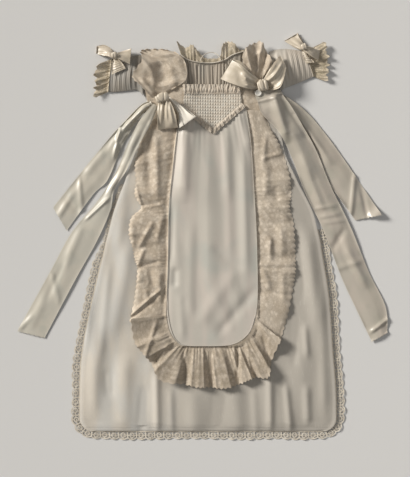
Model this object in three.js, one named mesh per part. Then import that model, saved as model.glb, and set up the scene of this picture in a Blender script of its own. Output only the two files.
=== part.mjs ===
// Christening gown laid flat on its back, front up, as a museum shows it.
// A gauze skirt lies over a plain satin slip. On the skirt's front lies a long satin panel with a wide
// gathered lace ruffle round it. The bodice has fine tucks, a smocked point, lace at the sides and
// shoulders, short tucked sleeves with lace cuffs, and satin ribbon bows with long ends.
// Millimetres. +X is to the right of someone looking down at it, +Y points to the neck, +Z is up.
// Places in the tables are measured from the middle of the gown, and the whole is centred at the end.

import * as THREE from 'three';

const CLOTH = 1.1;
const RIBBON = 1.2;
const SEAM_GAP = 0.3;
const HEM_Y = -368;
const WAIST_Y = 262;
const BED_CELL = 1;
const BED_REACH = 450;
const BED_SLACK = 0.7;

const SKIRT_CORNER = { left: 26, right: 23, height: 24 };
const SKIRT_BACK_INSET = 3.5;
const SLIP_INSET = 9;
const SLIP_HEM_RISE = 12;
const SLIP_TOP_Y = 250;
const PANEL_TOP_Y = 246;
const PANEL_BOTTOM_Y = -206;
const PANEL_CORNER = { left: 24, right: 44, height: 58 };

const LACE = { width: 16.5, scallop: 17, crest: [0.3, 0.7], dip: 3.5, tuckIn: 1.6, holeWide: 5.8, holeDeep: 5.4, holeCentre: 8.6 };
const LACE_NARROW = { width: 6, fullFromY: -52, fadeLength: 45 };
const LACE_LEFT_TOP_Y = 100;
// Where each length of that lace ends, as a share of its way round the skirt, and the cut between two.
const LACE_LENGTHS = { left: 0.345, bottom: 0.685, right: 0.945, cut: 0.0006 };

const TUCK = { count: 19, rise: 1.9 };
const SMOCK = { columns: 14, rows: 6, rise: 1.5 };
const FRILL_ROW = { puckers: 14, rise: 2.6 };
const POINT_FRILL = { puckers: 8, rise: 2.4 };
// Each frill's sewn edge and free edge, from one end to the other.
const FRILL_EDGES = {
  top: { inner: [[-38, 273], [71, 273]], outer: [[-40, 291], [73, 291]] },
  left: { inner: [[-39, 256], [17, 208]], outer: [[-47, 248], [17, 196]] },
  right: { inner: [[72, 256], [19, 208]], outer: [[80, 248], [19, 196]] },
};
const PIPING = { radius: 1.5, sides: 5, steps: 38 };
// Places of the piping's points, as shares down the panel's left side and back up its right side.
const PIPING_DOWN = [0.06, 0.2, 0.35, 0.5, 0.65, 0.76, 0.82, 0.88, 0.94, 1];
const PIPING_UP = [0.97, 0.91, 0.85, 0.79, 0.72, 0.6, 0.45, 0.3, 0.15, 0.06];
const NECK_BINDING = { radius: 1.2, sides: 5, steps: 14 };
const NECK_CORD = { radius: 0.8, sides: 5, steps: 14 };
const BUTTON = { radius: 6.5, thick: 3, dish: 1.1, segments: 20, x: 104, y: 274 };

const COLOUR = {
  gauze: { color: 0xd9d8d2, roughness: 0.75, metalness: 0 },
  satin: { color: 0xd8cfbd, roughness: 0.42, metalness: 0 },
  panel: { color: 0xdcdad4, roughness: 0.5, metalness: 0 },
  lace: { color: 0xcbbca3, roughness: 0.9, metalness: 0 },
  edging: { color: 0xc9c0b0, roughness: 0.9, metalness: 0 },
  smocking: { color: 0xd3cabb, roughness: 0.8, metalness: 0 },
  pearl: { color: 0xe6dfd0, roughness: 0.25, metalness: 0 },
};

// Side edges of the skirt, from the waist to the hem.
const SKIRT_SIDES = [
  { y: 262, left: -108, right: 140 },
  { y: 162, left: -130, right: 154 },
  { y: 100, left: -152, right: 182 },
  { y: 48, left: -171, right: 208 },
  { y: -5, left: -185, right: 221 },
  { y: -110, left: -209, right: 237 },
  { y: -218, left: -230, right: 245 },
  { y: -290, left: -235, right: 251 },
  { y: -368, left: -235, right: 252 },
];

// Side edges of the long front panel, where the piping runs.
const PANEL_SIDES = [
  { y: 246, left: -45, right: 80 },
  { y: 187, left: -51, right: 91 },
  { y: 122, left: -59, right: 94 },
  { y: 75, left: -65, right: 97 },
  { y: -43, left: -67, right: 102 },
  { y: -119, left: -71, right: 103 },
  { y: -206, left: -72, right: 103 },
];

// Long soft folds of the gauze skirt: where each starts and ends, its half width and how high it stands.
const SKIRT_FOLDS = [
  { x1: -150, y1: 95, x2: -162, y2: -15, width: 11, rise: 2.4 },
  { x1: -140, y1: -5, x2: -176, y2: -190, width: 14, rise: 3 },
  { x1: -206, y1: -175, x2: -208, y2: -330, width: 12, rise: 2.6 },
  { x1: -150, y1: -235, x2: -153, y2: -362, width: 15, rise: 3.2 },
  { x1: -88, y1: -255, x2: -90, y2: -366, width: 11, rise: 4.2 },
  { x1: -20, y1: -290, x2: -16, y2: -366, width: 16, rise: 2 },
  { x1: 60, y1: -290, x2: 66, y2: -366, width: 15, rise: 2.4 },
  { x1: 127, y1: -262, x2: 127, y2: -360, width: 10, rise: 4.2 },
  { x1: 157, y1: -280, x2: 165, y2: -362, width: 9, rise: 3.4 },
  { x1: 196, y1: -165, x2: 197, y2: -355, width: 12, rise: 4 },
  { x1: 224, y1: -110, x2: 230, y2: -330, width: 9, rise: 2.4 },
  { x1: 200, y1: 5, x2: 216, y2: -170, width: 11, rise: 3 },
];

const PANEL_FOLDS = [
  { x1: -41, y1: 180, x2: -42, y2: 80, width: 10, rise: 2.6 },
  { x1: -52, y1: -20, x2: -40, y2: -130, width: 12, rise: 1.8 },
  { x1: 12, y1: 170, x2: 14, y2: -120, width: 15, rise: 2 },
  { x1: 76, y1: 160, x2: 80, y2: -70, width: 10, rise: 2 },
  { x1: 82, y1: -88, x2: 30, y2: -172, width: 11, rise: 2.6 },
  { x1: 50, y1: -76, x2: 4, y2: -160, width: 12, rise: 1.8 },
];

// The lace ruffle round the panel. Each row crosses it from its gathered edge (in) to its free edge
// (out), and rise is how high the free edge stands there, so rows run ridge, valley, ridge.
const RUFFLE_LEFT = [
  { inX: -42, inY: 246, outX: -101, outY: 240, rise: 2 },
  { inX: -48, inY: 220, outX: -117, outY: 200, rise: 5 },
  { inX: -52, inY: 187, outX: -126, outY: 163, rise: 1 },
  { inX: -56, inY: 153, outX: -132, outY: 138, rise: 6 },
  { inX: -60, inY: 117, outX: -130, outY: 106, rise: 1.5 },
  { inX: -63, inY: 87, outX: -132, outY: 79, rise: 7 },
  { inX: -66, inY: 64, outX: -120, outY: 57, rise: 0.5 },
  { inX: -66, inY: 41, outX: -139, outY: 37, rise: 6 },
  { inX: -67, inY: 10, outX: -143, outY: 6, rise: 8 },
  { inX: -67, inY: -18, outX: -136, outY: -20, rise: 1 },
  { inX: -67, inY: -39, outX: -132, outY: -42, rise: 6 },
  { inX: -68, inY: -58, outX: -127, outY: -58, rise: 1 },
  { inX: -69, inY: -88, outX: -129, outY: -90, rise: 8 },
  { inX: -70, inY: -119, outX: -134, outY: -124, rise: 2 },
  { inX: -71, inY: -147, outX: -142, outY: -156, rise: 7 },
];

const RUFFLE_BOTTOM = [
  { inX: -70, inY: -158, outX: -141, outY: -172, rise: 3 },
  { inX: -66, inY: -174, outX: -133, outY: -197, rise: 1 },
  { inX: -58, inY: -190, outX: -118, outY: -218, rise: 7 },
  { inX: -48, inY: -201, outX: -100, outY: -240, rise: 1 },
  { inX: -38, inY: -206, outX: -82, outY: -272, rise: 8 },
  { inX: -24, inY: -206, outX: -37, outY: -280, rise: 1.5 },
  { inX: -9, inY: -206, outX: -10, outY: -286, rise: 7 },
  { inX: 7, inY: -206, outX: 14, outY: -286, rise: 0.5 },
  { inX: 23, inY: -206, outX: 38, outY: -288, rise: 8 },
  { inX: 43, inY: -206, outX: 64, outY: -282, rise: 0.5 },
  { inX: 57, inY: -203, outX: 83, outY: -273, rise: 7 },
  { inX: 70, inY: -197, outX: 101, outY: -267, rise: 1 },
  { inX: 81, inY: -188, outX: 124, outY: -266, rise: 8 },
  { inX: 90, inY: -177, outX: 130, outY: -236, rise: 1 },
  { inX: 96, inY: -164, outX: 145, outY: -210, rise: 5 },
];

const RUFFLE_RIGHT = [
  { inX: 99, inY: -154, outX: 149, outY: -196, rise: 2.5 },
  { inX: 101, inY: -140, outX: 154, outY: -174, rise: 1 },
  { inX: 103, inY: -117, outX: 164, outY: -136, rise: 7 },
  { inX: 103, inY: -88, outX: 172, outY: -92, rise: 1.5 },
  { inX: 102, inY: -62, outX: 176, outY: -66, rise: 7 },
  { inX: 102, inY: -36, outX: 176, outY: -39, rise: 0.5 },
  { inX: 101, inY: -5, outX: 175, outY: -5, rise: 6 },
  { inX: 100, inY: 30, outX: 172, outY: 31, rise: 1 },
  { inX: 98, inY: 58, outX: 165, outY: 58, rise: 6 },
  { inX: 96, inY: 79, outX: 168, outY: 81, rise: 1 },
  { inX: 95, inY: 106, outX: 166, outY: 110, rise: 7 },
  { inX: 93, inY: 140, outX: 157, outY: 147, rise: 1 },
  { inX: 91, inY: 174, outX: 143, outY: 182, rise: 6 },
  { inX: 87, inY: 208, outX: 128, outY: 208, rise: 2 },
  { inX: 81, inY: 242, outX: 115, outY: 241, rise: 3 },
];

// The bodice and what is sewn to it. Rows of two sides run from the neck down.
const BODICE_BACK = [
  { y: 340, left: -112.6, right: 127.2 },
  { y: 318, left: -113.4, right: 134.1 },
  { y: 282, left: -114.8, right: 145.2 },
  { y: 262.7, left: -110, right: 143 },
];
const SIDE_LACE_LEFT = [
  { y: 344, left: -107, right: -38 },
  { y: 318, left: -109, right: -33 },
  { y: 284, left: -111, right: -31 },
  { y: 261, left: -107, right: -29 },
  { y: 246, left: -101, right: -24 },
];
const SIDE_LACE_RIGHT = [
  { y: 350, left: 77, right: 119 },
  { y: 318, left: 74, right: 130 },
  { y: 284, left: 72, right: 142 },
  { y: 254, left: 68, right: 142 },
  { y: 238, left: 64, right: 137 },
];
const SMOCKED_POINT = [
  { y: 275, left: -36, right: 70 },
  { y: 254, left: -37, right: 71 },
  { y: 239, left: -19, right: 53 },
  { y: 223, left: -1, right: 37 },
  { y: 209, left: 15, right: 22 },
];

// The tucked front: the neckline above and the frill's seam below, from left to right.
const TUCKED_FRONT = [
  { topX: -43, topY: 347, lowX: -38, lowY: 284 },
  { topX: -30, topY: 339, lowX: -26, lowY: 283 },
  { topX: -9, topY: 334, lowX: -7, lowY: 283 },
  { topX: 18, topY: 333, lowX: 18, lowY: 283 },
  { topX: 39, topY: 338, lowX: 39, lowY: 283 },
  { topX: 56, topY: 348, lowX: 54, lowY: 284 },
  { topX: 82, topY: 356, lowX: 75, lowY: 285 },
];

// The back neck's lace frill, which shows above the neckline.
const NECK_LACE = [
  { inX: -40, inY: 338, outX: -52, outY: 375, rise: 9 },
  { inX: -30, inY: 333, outX: -35, outY: 362, rise: 2 },
  { inX: -21, inY: 331, outX: -22, outY: 367, rise: 10 },
  { inX: -11, inY: 329, outX: -12, outY: 357, rise: 3 },
  { inX: 1, inY: 328, outX: 1, outY: 343, rise: 1 },
  { inX: 16, inY: 327, outX: 16, outY: 341, rise: 1 },
  { inX: 28, inY: 328, outX: 31, outY: 344, rise: 2 },
  { inX: 35, inY: 330, outX: 36, outY: 366, rise: 9 },
  { inX: 45, inY: 334, outX: 44, outY: 373, rise: 3 },
  { inX: 56, inY: 338, outX: 57, outY: 371, rise: 10 },
  { inX: 69, inY: 342, outX: 69, outY: 357, rise: 3 },
  { inX: 80, inY: 345, outX: 82, outY: 360, rise: 3 },
];
const NECKLINE = [
  { x: -44, y: 347 },
  { x: -30, y: 338 },
  { x: -9, y: 333 },
  { x: 18, y: 332 },
  { x: 39, y: 337 },
  { x: 56, y: 347 },
  { x: 82, y: 355 },
];
const CORD_LOOP = [
  { x: -6, y: 335, rise: 0 },
  { x: -2, y: 344, rise: 3 },
  { x: 6, y: 350, rise: 5 },
  { x: 16, y: 352, rise: 6 },
  { x: 25, y: 348, rise: 5 },
  { x: 31, y: 341, rise: 2 },
  { x: 34, y: 334, rise: 0 },
];

// The wide frills over the shoulders, from the side next to the neck round to the outer side.
const SHOULDER_FRILL_LEFT = [
  { inX: -41, inY: 342, outX: -55, outY: 353, rise: 1 },
  { inX: -35, inY: 333, outX: -84, outY: 358, rise: 5 },
  { inX: -32, inY: 321, outX: -119, outY: 355, rise: 3 },
  { inX: -31, inY: 309, outX: -117, outY: 337, rise: 9 },
  { inX: -35, inY: 297, outX: -136, outY: 306, rise: 5 },
  { inX: -51, inY: 286, outX: -117, outY: 285, rise: 7 },
  { inX: -70, inY: 276, outX: -98, outY: 264, rise: 3 },
];
const SHOULDER_FRILL_RIGHT = [
  { inX: 90, inY: 308, outX: 72, outY: 342, rise: 2 },
  { inX: 95, inY: 304, outX: 81, outY: 361, rise: 7 },
  { inX: 99, inY: 302, outX: 94, outY: 369, rise: 2 },
  { inX: 103, inY: 300, outX: 110, outY: 373, rise: 9 },
  { inX: 107, inY: 300, outX: 120, outY: 354, rise: 2 },
  { inX: 111, inY: 302, outX: 130, outY: 337, rise: 7 },
  { inX: 115, inY: 305, outX: 128, outY: 319, rise: 3 },
];

// Sleeves, from the armhole out to the cuff seam: upper edge, lower edge and how full each section is.
const SLEEVE_LEFT = [
  { topX: -113, topY: 347, lowX: -116, lowY: 270, full: 8 },
  { topX: -121, topY: 347, lowX: -125, lowY: 280, full: 10 },
  { topX: -136, topY: 345, lowX: -138, lowY: 280, full: 12 },
  { topX: -151, topY: 342, lowX: -155, lowY: 278, full: 11 },
  { topX: -164, topY: 341, lowX: -169, lowY: 277, full: 9 },
  { topX: -174, topY: 340, lowX: -181, lowY: 277, full: 7 },
];
const SLEEVE_RIGHT = [
  { topX: 124, topY: 353, lowX: 147, lowY: 279, full: 8 },
  { topX: 137, topY: 357, lowX: 155, lowY: 284, full: 11 },
  { topX: 151, topY: 359, lowX: 165, lowY: 288, full: 13 },
  { topX: 166, topY: 358, lowX: 178, lowY: 293, full: 12 },
  { topX: 180, topY: 356, lowX: 193, lowY: 299, full: 9 },
  { topX: 193, topY: 354, lowX: 209, lowY: 306, full: 7 },
];
const SLEEVE_TUCKS = { count: 7, rise: 1.6 };
// The lace cuffs' free edges, from the upper end down, and how high the lace waves there.
const CUFF_LEFT = [
  { outX: -190, outY: 335, rise: 2 },
  { outX: -208, outY: 322, rise: 6 },
  { outX: -210, outY: 307, rise: 1 },
  { outX: -208, outY: 291, rise: 5 },
  { outX: -211, outY: 279, rise: 1 },
  { outX: -210, outY: 265, rise: 4 },
];
const CUFF_RIGHT = [
  { outX: 234, outY: 373, rise: 3 },
  { outX: 239, outY: 353, rise: 6 },
  { outX: 241, outY: 332, rise: 1 },
  { outX: 240, outY: 313, rise: 5 },
  { outX: 238, outY: 296, rise: 2 },
];

// Ribbon ends, from the knot to the cut end: the ribbon's two edges and how high it arches there.
const LEFT_SHORT_END = [
  { aX: -101, aY: 259, bX: -96, bY: 250, rise: 3 },
  { aX: -118, aY: 252, bX: -108, bY: 240, rise: 6 },
  { aX: -142, aY: 229, bX: -127, bY: 222, rise: 5 },
  { aX: -159, aY: 211, bX: -144, bY: 194, rise: 6 },
  { aX: -174, aY: 195, bX: -158, bY: 168, rise: 4 },
  { aX: -215, aY: 146, bX: -183, bY: 109, rise: 2 },
  { aX: -240, aY: 115, bX: -210, bY: 82, rise: 3 },
  { aX: -286, aY: 58, bX: -260, bY: 14, rise: 1 },
];
const LEFT_LONG_END = [
  { aX: -96, aY: 254, bX: -85, bY: 248, rise: 3 },
  { aX: -122, aY: 220, bX: -102, bY: 211, rise: 6 },
  { aX: -144, aY: 176, bX: -125, bY: 171, rise: 5 },
  { aX: -163, aY: 131, bX: -146, bY: 128, rise: 4 },
  { aX: -182, aY: 98, bX: -170, bY: 90, rise: 5 },
  { aX: -206, aY: 64, bX: -177, bY: 53, rise: 3 },
  { aX: -252, aY: 8, bX: -202, bY: -5, rise: 2 },
  { aX: -292, aY: -65, bX: -246, bY: -84, rise: 3 },
  { aX: -354, aY: -177, bX: -302, bY: -190, rise: 1 },
];
const RIGHT_LONG_END = [
  { aX: 104, aY: 262, bX: 148, bY: 272, rise: 4 },
  { aX: 112, aY: 233, bX: 167, bY: 248, rise: 5 },
  { aX: 143, aY: 200, bX: 187, bY: 214, rise: 4 },
  { aX: 168, aY: 151, bX: 214, bY: 166, rise: 3 },
  { aX: 193, aY: 86, bX: 241, bY: 100, rise: 5 },
  { aX: 228, aY: 14, bX: 279, bY: 22, rise: 4 },
  { aX: 262, aY: -74, bX: 314, bY: -64, rise: 2 },
  { aX: 293, aY: -141, bX: 346, bY: -130, rise: 2 },
  { aX: 320, aY: -197, bX: 350, bY: -180, rise: 4 },
];
const RIGHT_SHORT_END = [
  { aX: 150, aY: 272, bX: 132, bY: 266, rise: 2 },
  { aX: 180, aY: 252, bX: 153, bY: 227, rise: 3 },
  { aX: 212, aY: 222, bX: 181, bY: 189, rise: 2 },
  { aX: 253, aY: 169, bX: 217, bY: 134, rise: 3 },
  { aX: 291, aY: 114, bX: 252, bY: 84, rise: 2 },
  { aX: 338, aY: 44, bX: 288, bY: 34, rise: 1 },
];

// Bow loops, from the knot to the tip: the ribbon's two edges and how far the loop is puffed up.
const WAIST_LEFT_LOW = [
  { aX: -86, aY: 264, bX: -71, bY: 268, puff: 5 },
  { aX: -87, aY: 246, bX: -56, bY: 253, puff: 12 },
  { aX: -87, aY: 226, bX: -47, bY: 232, puff: 14 },
  { aX: -86, aY: 204, bX: -48, bY: 208, puff: 5 },
];
const WAIST_LEFT_SIDE = [
  { aX: -75, aY: 260, bX: -68, bY: 269, puff: 4 },
  { aX: -50, aY: 238, bX: -40, bY: 250, puff: 8 },
  { aX: -41, aY: 222, bX: -25, bY: 238, puff: 7 },
  { aX: -36, aY: 208, bX: -13, bY: 228, puff: 4 },
];
const WAIST_RIGHT_IN = [
  { aX: 109, aY: 282, bX: 109, bY: 297, puff: 5 },
  { aX: 84, aY: 282, bX: 87, bY: 317, puff: 14 },
  { aX: 60, aY: 288, bX: 71, bY: 333, puff: 13 },
  { aX: 32, aY: 300, bX: 53, bY: 338, puff: 5 },
];
const WAIST_RIGHT_OUT = [
  { aX: 115, aY: 280, bX: 112, bY: 296, puff: 4 },
  { aX: 136, aY: 280, bX: 121, bY: 312, puff: 12 },
  { aX: 148, aY: 289, bX: 131, bY: 328, puff: 13 },
  { aX: 157, aY: 322, bX: 145, bY: 345, puff: 5 },
];
const SLEEVE_LEFT_OUT = [
  { aX: -169, aY: 338, bX: -168, bY: 349, puff: 3.6 },
  { aX: -183, aY: 344, bX: -178, bY: 361, puff: 9 },
  { aX: -194, aY: 346, bX: -190, bY: 367, puff: 8 },
  { aX: -204, aY: 350, bX: -203, bY: 364, puff: 4 },
];
const SLEEVE_LEFT_IN = [
  { aX: -169, aY: 339, bX: -168, bY: 349, puff: 3.6 },
  { aX: -156, aY: 336, bX: -155, bY: 354, puff: 9 },
  { aX: -139, aY: 328, bX: -137, bY: 359, puff: 4 },
];
const SLEEVE_RIGHT_IN = [
  { aX: 190, aY: 354, bX: 193, bY: 365, puff: 3.6 },
  { aX: 173, aY: 362, bX: 187, bY: 378, puff: 9 },
  { aX: 154, aY: 374, bX: 180, bY: 389, puff: 4 },
];
const SLEEVE_RIGHT_OUT = [
  { aX: 189, aY: 354, bX: 191, bY: 364, puff: 3.6 },
  { aX: 205, aY: 343, bX: 209, bY: 361, puff: 9 },
  { aX: 218, aY: 337, bX: 222, bY: 357, puff: 4 },
];
const SLEEVE_LEFT_TAIL = [
  { aX: -171, aY: 339, bX: -163, bY: 340, rise: 2 },
  { aX: -174, aY: 326, bX: -155, bY: 332, rise: 3 },
  { aX: -174, aY: 310, bX: -148, bY: 321, rise: 1 },
];
const SLEEVE_RIGHT_TAIL = [
  { aX: 187, aY: 355, bX: 194, bY: 355, rise: 2 },
  { aX: 190, aY: 343, bX: 202, bY: 343, rise: 3 },
  { aX: 194, aY: 331, bX: 210, bY: 333, rise: 1 },
];

// Knots: centre, half sizes and the turn of the longer side.
const KNOTS = [
  { name: 'waist_bow_left_knot', x: -78, y: 264, long: 12, wide: 9, high: 6, turn: 20, folds: 5 },
  { name: 'waist_bow_right_knot', x: 112, y: 288, long: 10, wide: 12, high: 7, turn: 15, folds: 6 },
  { name: 'sleeve_bow_left_knot', x: -169, y: 345, long: 5, wide: 6, high: 4, turn: 0, folds: 3 },
  { name: 'sleeve_bow_right_knot', x: 190, y: 361, long: 5, wide: 6, high: 4, turn: 20, folds: 3 },
];

const lerp = THREE.MathUtils.lerp;
const clamp = THREE.MathUtils.clamp;

// Smooth value of one column of a table at any place between its rows, counted from row 0.
function read(table, column, place) {
  const last = table.length - 1;
  const row = clamp(Math.floor(place), 0, last - 1);
  const [a, b, c, d] = [row - 1, row, row + 1, row + 2].map((k) => table[clamp(k, 0, last)][column]);
  const t = place - row;
  const slopeStart = (c - a) / 2;
  const slopeEnd = (d - b) / 2;
  const cubic = 2 * (b - c) + slopeStart + slopeEnd;
  const square = 3 * (c - b) - 2 * slopeStart - slopeEnd;
  return ((cubic * t + square) * t + slopeStart) * t + b;
}

// Where a height y falls between the rows of a table that runs downwards.
function placeOfY(table, y) {
  const last = table.length - 1;
  let row = 0;
  while (row < last - 1 && y < table[row + 1].y) row += 1;
  return row + clamp((table[row].y - y) / (table[row].y - table[row + 1].y), 0, 1);
}

// Straight-sided outline of a panel with rounded lower corners: y, left and right at share v down it.
function panelOutline(sides, top, bottom, corner, inset = 0) {
  const straightShare = 0.75;
  return (v) => {
    const turn = Math.max(0, (v - straightShare) / (1 - straightShare)) * Math.PI / 2;
    const bendY = bottom + corner.height;
    const y = turn > 0 ? bottom + corner.height * (1 - Math.sin(turn)) : lerp(top, bendY, v / straightShare);
    const place = placeOfY(sides, y);
    const pull = 1 - Math.cos(turn);
    return {
      y,
      left: read(sides, 'left', place) + inset + corner.left * pull,
      right: read(sides, 'right', place) - inset - corner.right * pull,
    };
  };
}

// Height map of what already lies on the table, so that each new piece is laid on top of it.
class Bed {
  constructor(reach, cell) {
    this.reach = reach;
    this.cell = cell;
    this.side = Math.ceil(2 * reach / cell);
    this.heights = new Float32Array(this.side * this.side);
  }

  // Calls visit(column, row, z) for points spread over a triangle, closer together than the cells.
  scan([a, b, c], visit) {
    const edge = Math.max(a.distanceTo(b), b.distanceTo(c), c.distanceTo(a));
    const steps = Math.max(2, Math.ceil(2.5 * edge / this.cell));
    for (let i = 0; i <= steps; i++) {
      for (let j = 0; j <= steps - i; j++) {
        const [u, v] = [i / steps, j / steps];
        const w = 1 - u - v;
        const x = a.x * w + b.x * u + c.x * v;
        const y = a.y * w + b.y * u + c.y * v;
        const z = a.z * w + b.z * u + c.z * v;
        visit(Math.floor((x + this.reach) / this.cell), Math.floor((y + this.reach) / this.cell), z);
      }
    }
  }

  highestUnder(triangle) {
    let highest = 0;
    this.scan(triangle, (column, row) => {
      highest = Math.max(highest, this.heights[row * this.side + column]);
    });
    return highest;
  }

  // How far a triangle has to rise so that no part of it is below what lies there.
  riseNeeded(triangle) {
    let rise = -Infinity;
    this.scan(triangle, (column, row, z) => {
      rise = Math.max(rise, this.heights[row * this.side + column] - z);
    });
    return rise;
  }

  cover(triangle) {
    this.scan(triangle, (column, row, z) => {
      for (const dr of [-1, 0, 1]) {
        for (const dc of [-1, 0, 1]) {
          const cell = (row + dr) * this.side + column + dc;
          this.heights[cell] = Math.max(this.heights[cell], z);
        }
      }
    });
  }
}

const bed = new Bed(BED_REACH, BED_CELL);
const gown = new THREE.Group();

function addPiece(name, geometry, finish) {
  geometry.computeVertexNormals();
  const mesh = new THREE.Mesh(geometry, new THREE.MeshStandardMaterial(finish));
  mesh.name = name;
  gown.add(mesh);
}

// Geometry from points and triangles, turned inside out if it encloses a negative volume.
function closedGeometry(points, triangles) {
  let volume = 0;
  for (const [a, b, c] of triangles) {
    volume += points[a].dot(new THREE.Vector3().crossVectors(points[b], points[c]));
  }
  const order = volume < 0 ? triangles.map(([a, b, c]) => [a, c, b]) : triangles;
  const geometry = new THREE.BufferGeometry();
  geometry.setAttribute('position', new THREE.Float32BufferAttribute(points.flatMap((p) => p.toArray()), 3));
  geometry.setIndex(order.flat());
  return geometry;
}

const quad = (a, b, c, d) => [[a, b, c], [a, c, d]];

// Grid of points over a piece's plan, at the height of what lies under it.
function settledGrid(piece) {
  const { columns, rows, plan } = piece;
  const grid = [];
  for (let j = 0; j <= rows; j++) {
    for (let i = 0; i <= columns; i++) {
      const [x, y] = plan(i / columns, j / rows);
      grid.push(new THREE.Vector3(x, y, 0));
    }
  }
  const at = (i, j) => j * (columns + 1) + i;
  const support = new Float32Array(grid.length);
  for (let j = 0; j < rows; j++) {
    for (let i = 0; i < columns; i++) {
      const corners = [at(i, j), at(i + 1, j), at(i + 1, j + 1), at(i, j + 1)];
      const flat = corners.map((k) => grid[k]);
      const high = Math.max(bed.highestUnder([flat[0], flat[1], flat[2]]), bed.highestUnder([flat[0], flat[2], flat[3]]));
      corners.forEach((k) => { support[k] = Math.max(support[k], high); });
    }
  }
  grid.forEach((point, k) => { point.z = support[k] > 0 ? support[k] + SEAM_GAP : 0; });
  return grid;
}

// Lets a stiff piece bridge small steps: a point may rise to its neighbours' mean, never sink.
function bridgeSteps(grid, columns, rows, passes) {
  const at = (i, j) => j * (columns + 1) + i;
  for (let pass = 0; pass < passes; pass++) {
    const before = grid.map((point) => point.z);
    for (let j = 0; j <= rows; j++) {
      for (let i = 0; i <= columns; i++) {
        const near = [[i - 1, j], [i + 1, j], [i, j - 1], [i, j + 1]]
          .filter(([p, q]) => p >= 0 && p <= columns && q >= 0 && q <= rows)
          .map(([p, q]) => before[at(p, q)]);
        const mean = near.reduce((sum, z) => sum + z, 0) / near.length;
        grid[at(i, j)].z = Math.max(before[at(i, j)], mean);
      }
    }
  }
}

// A wall of cloth: an upper and a lower skin over the same plan, joined round every free edge.
function clothWall(piece) {
  const { columns, rows, thickness = CLOTH, lift = () => 0, relief = () => 0, passes = 1 } = piece;
  const grid = settledGrid(piece);
  bridgeSteps(grid, columns, rows, passes);
  const lower = grid.map((point, k) => {
    const [u, v] = [(k % (columns + 1)) / columns, Math.floor(k / (columns + 1)) / rows];
    return new THREE.Vector3(point.x, point.y, point.z + Math.max(0, lift(u, v)));
  });
  const upper = lower.map((point, k) => {
    const [i, j] = [k % (columns + 1), Math.floor(k / (columns + 1))];
    return new THREE.Vector3(point.x, point.y, point.z + thickness + relief(i, j));
  });
  const under = grid.length;
  const at = (i, j) => j * (columns + 1) + i;
  const triangles = [];
  for (let j = 0; j < rows; j++) {
    for (let i = 0; i < columns; i++) {
      const [a, b, c, d] = [at(i, j), at(i + 1, j), at(i + 1, j + 1), at(i, j + 1)];
      triangles.push(...quad(a, b, c, d), [a + under, c + under, b + under], [a + under, d + under, c + under]);
      if (j === 0) triangles.push(...quad(b, a, a + under, b + under));
      if (j === rows - 1) triangles.push(...quad(d, c, c + under, d + under));
      if (i === 0) triangles.push(...quad(a, d, d + under, a + under));
      if (i === columns - 1) triangles.push(...quad(c, b, b + under, c + under));
    }
  }
  return { points: [...upper, ...lower], triangles };
}

// A flattened tube of cloth: open along its first and last rows, closed at its first and last columns.
function clothTube(piece) {
  const { columns, rows, thickness = CLOTH, height, passes = 1 } = piece;
  const grid = settledGrid(piece);
  bridgeSteps(grid, columns, rows, passes);
  const at = (i, j) => j * (columns + 1) + i;
  const ringSize = 2 * (columns + 1);
  const outer = [];
  const inner = [];
  for (let j = 0; j <= rows; j++) {
    for (let k = 0; k < ringSize; k++) {
      const onTop = k > columns;
      const i = onTop ? ringSize - 1 - k : k;
      const base = grid[at(i, j)];
      const z = base.z + (onTop ? height(i / columns, j / rows) : 0);
      outer.push(new THREE.Vector3(base.x, base.y, z));
      const towards = i === 0 ? grid[at(1, j)] : grid[at(columns - 1, j)];
      const inside = new THREE.Vector3(base.x, base.y, z + (onTop ? -thickness : thickness));
      if (i === 0 || i === columns) {
        const step = new THREE.Vector3(towards.x - base.x, towards.y - base.y, 0).setLength(thickness);
        inside.add(step);
      }
      inner.push(inside);
    }
  }
  const skin = outer.length;
  const triangles = [];
  for (let k = 0; k < ringSize; k++) {
    const next = (k + 1) % ringSize;
    for (let j = 0; j < rows; j++) {
      const [a, b] = [j * ringSize + k, j * ringSize + next];
      const [c, d] = [b + ringSize, a + ringSize];
      triangles.push(...quad(a, b, c, d), ...quad(a + skin, d + skin, c + skin, b + skin));
    }
    const end = rows * ringSize;
    triangles.push(...quad(next, k, k + skin, next + skin));
    triangles.push(...quad(end + k, end + next, end + next + skin, end + k + skin));
  }
  return { points: [...outer, ...inner], triangles };
}

// Lays pieces that lie side by side: all rest on what was there before, then all cover it.
function lay(...pieces) {
  const built = pieces.map((piece) => ({ piece, ...(piece.height ? clothTube(piece) : clothWall(piece)) }));
  for (const { piece, points, triangles } of built) {
    addPiece(piece.name, closedGeometry(points, triangles), piece.finish);
    triangles.forEach((corners) => bed.cover(corners.map((k) => points[k])));
  }
}

// Panel between a left and a right edge, from its top row to its bottom row.
function panel(name, outline, columns, rows, finish, extra = {}) {
  const plan = (u, v) => {
    const { y, left, right } = outline(v);
    return [lerp(left, right, u), y];
  };
  return { name, columns, rows, plan, finish, ...extra };
}

function tableOutline(table) {
  return (v) => {
    const place = v * (table.length - 1);
    return { y: read(table, 'y', place), left: read(table, 'left', place), right: read(table, 'right', place) };
  };
}

// Height of long soft folds at a point: each is a rounded ridge that fades out at both ends.
function foldHeight(folds, x, y) {
  let height = 0;
  for (const { x1, y1, x2, y2, width, rise } of folds) {
    const [dx, dy] = [x2 - x1, y2 - y1];
    const along = ((x - x1) * dx + (y - y1) * dy) / (dx * dx + dy * dy);
    const across = Math.hypot(x - lerp(x1, x2, along), y - lerp(y1, y2, along)) / width;
    const fade = clamp(Math.min(along, 1 - along) * 4 + 0.35, 0, 1);
    height += rise * fade * Math.exp(-across * across);
  }
  return height;
}

function foldedPanel(name, outline, columns, rows, finish, folds) {
  const piece = panel(name, outline, columns, rows, finish);
  piece.lift = (u, v) => foldHeight(folds, ...piece.plan(u, v));
  return piece;
}

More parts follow.
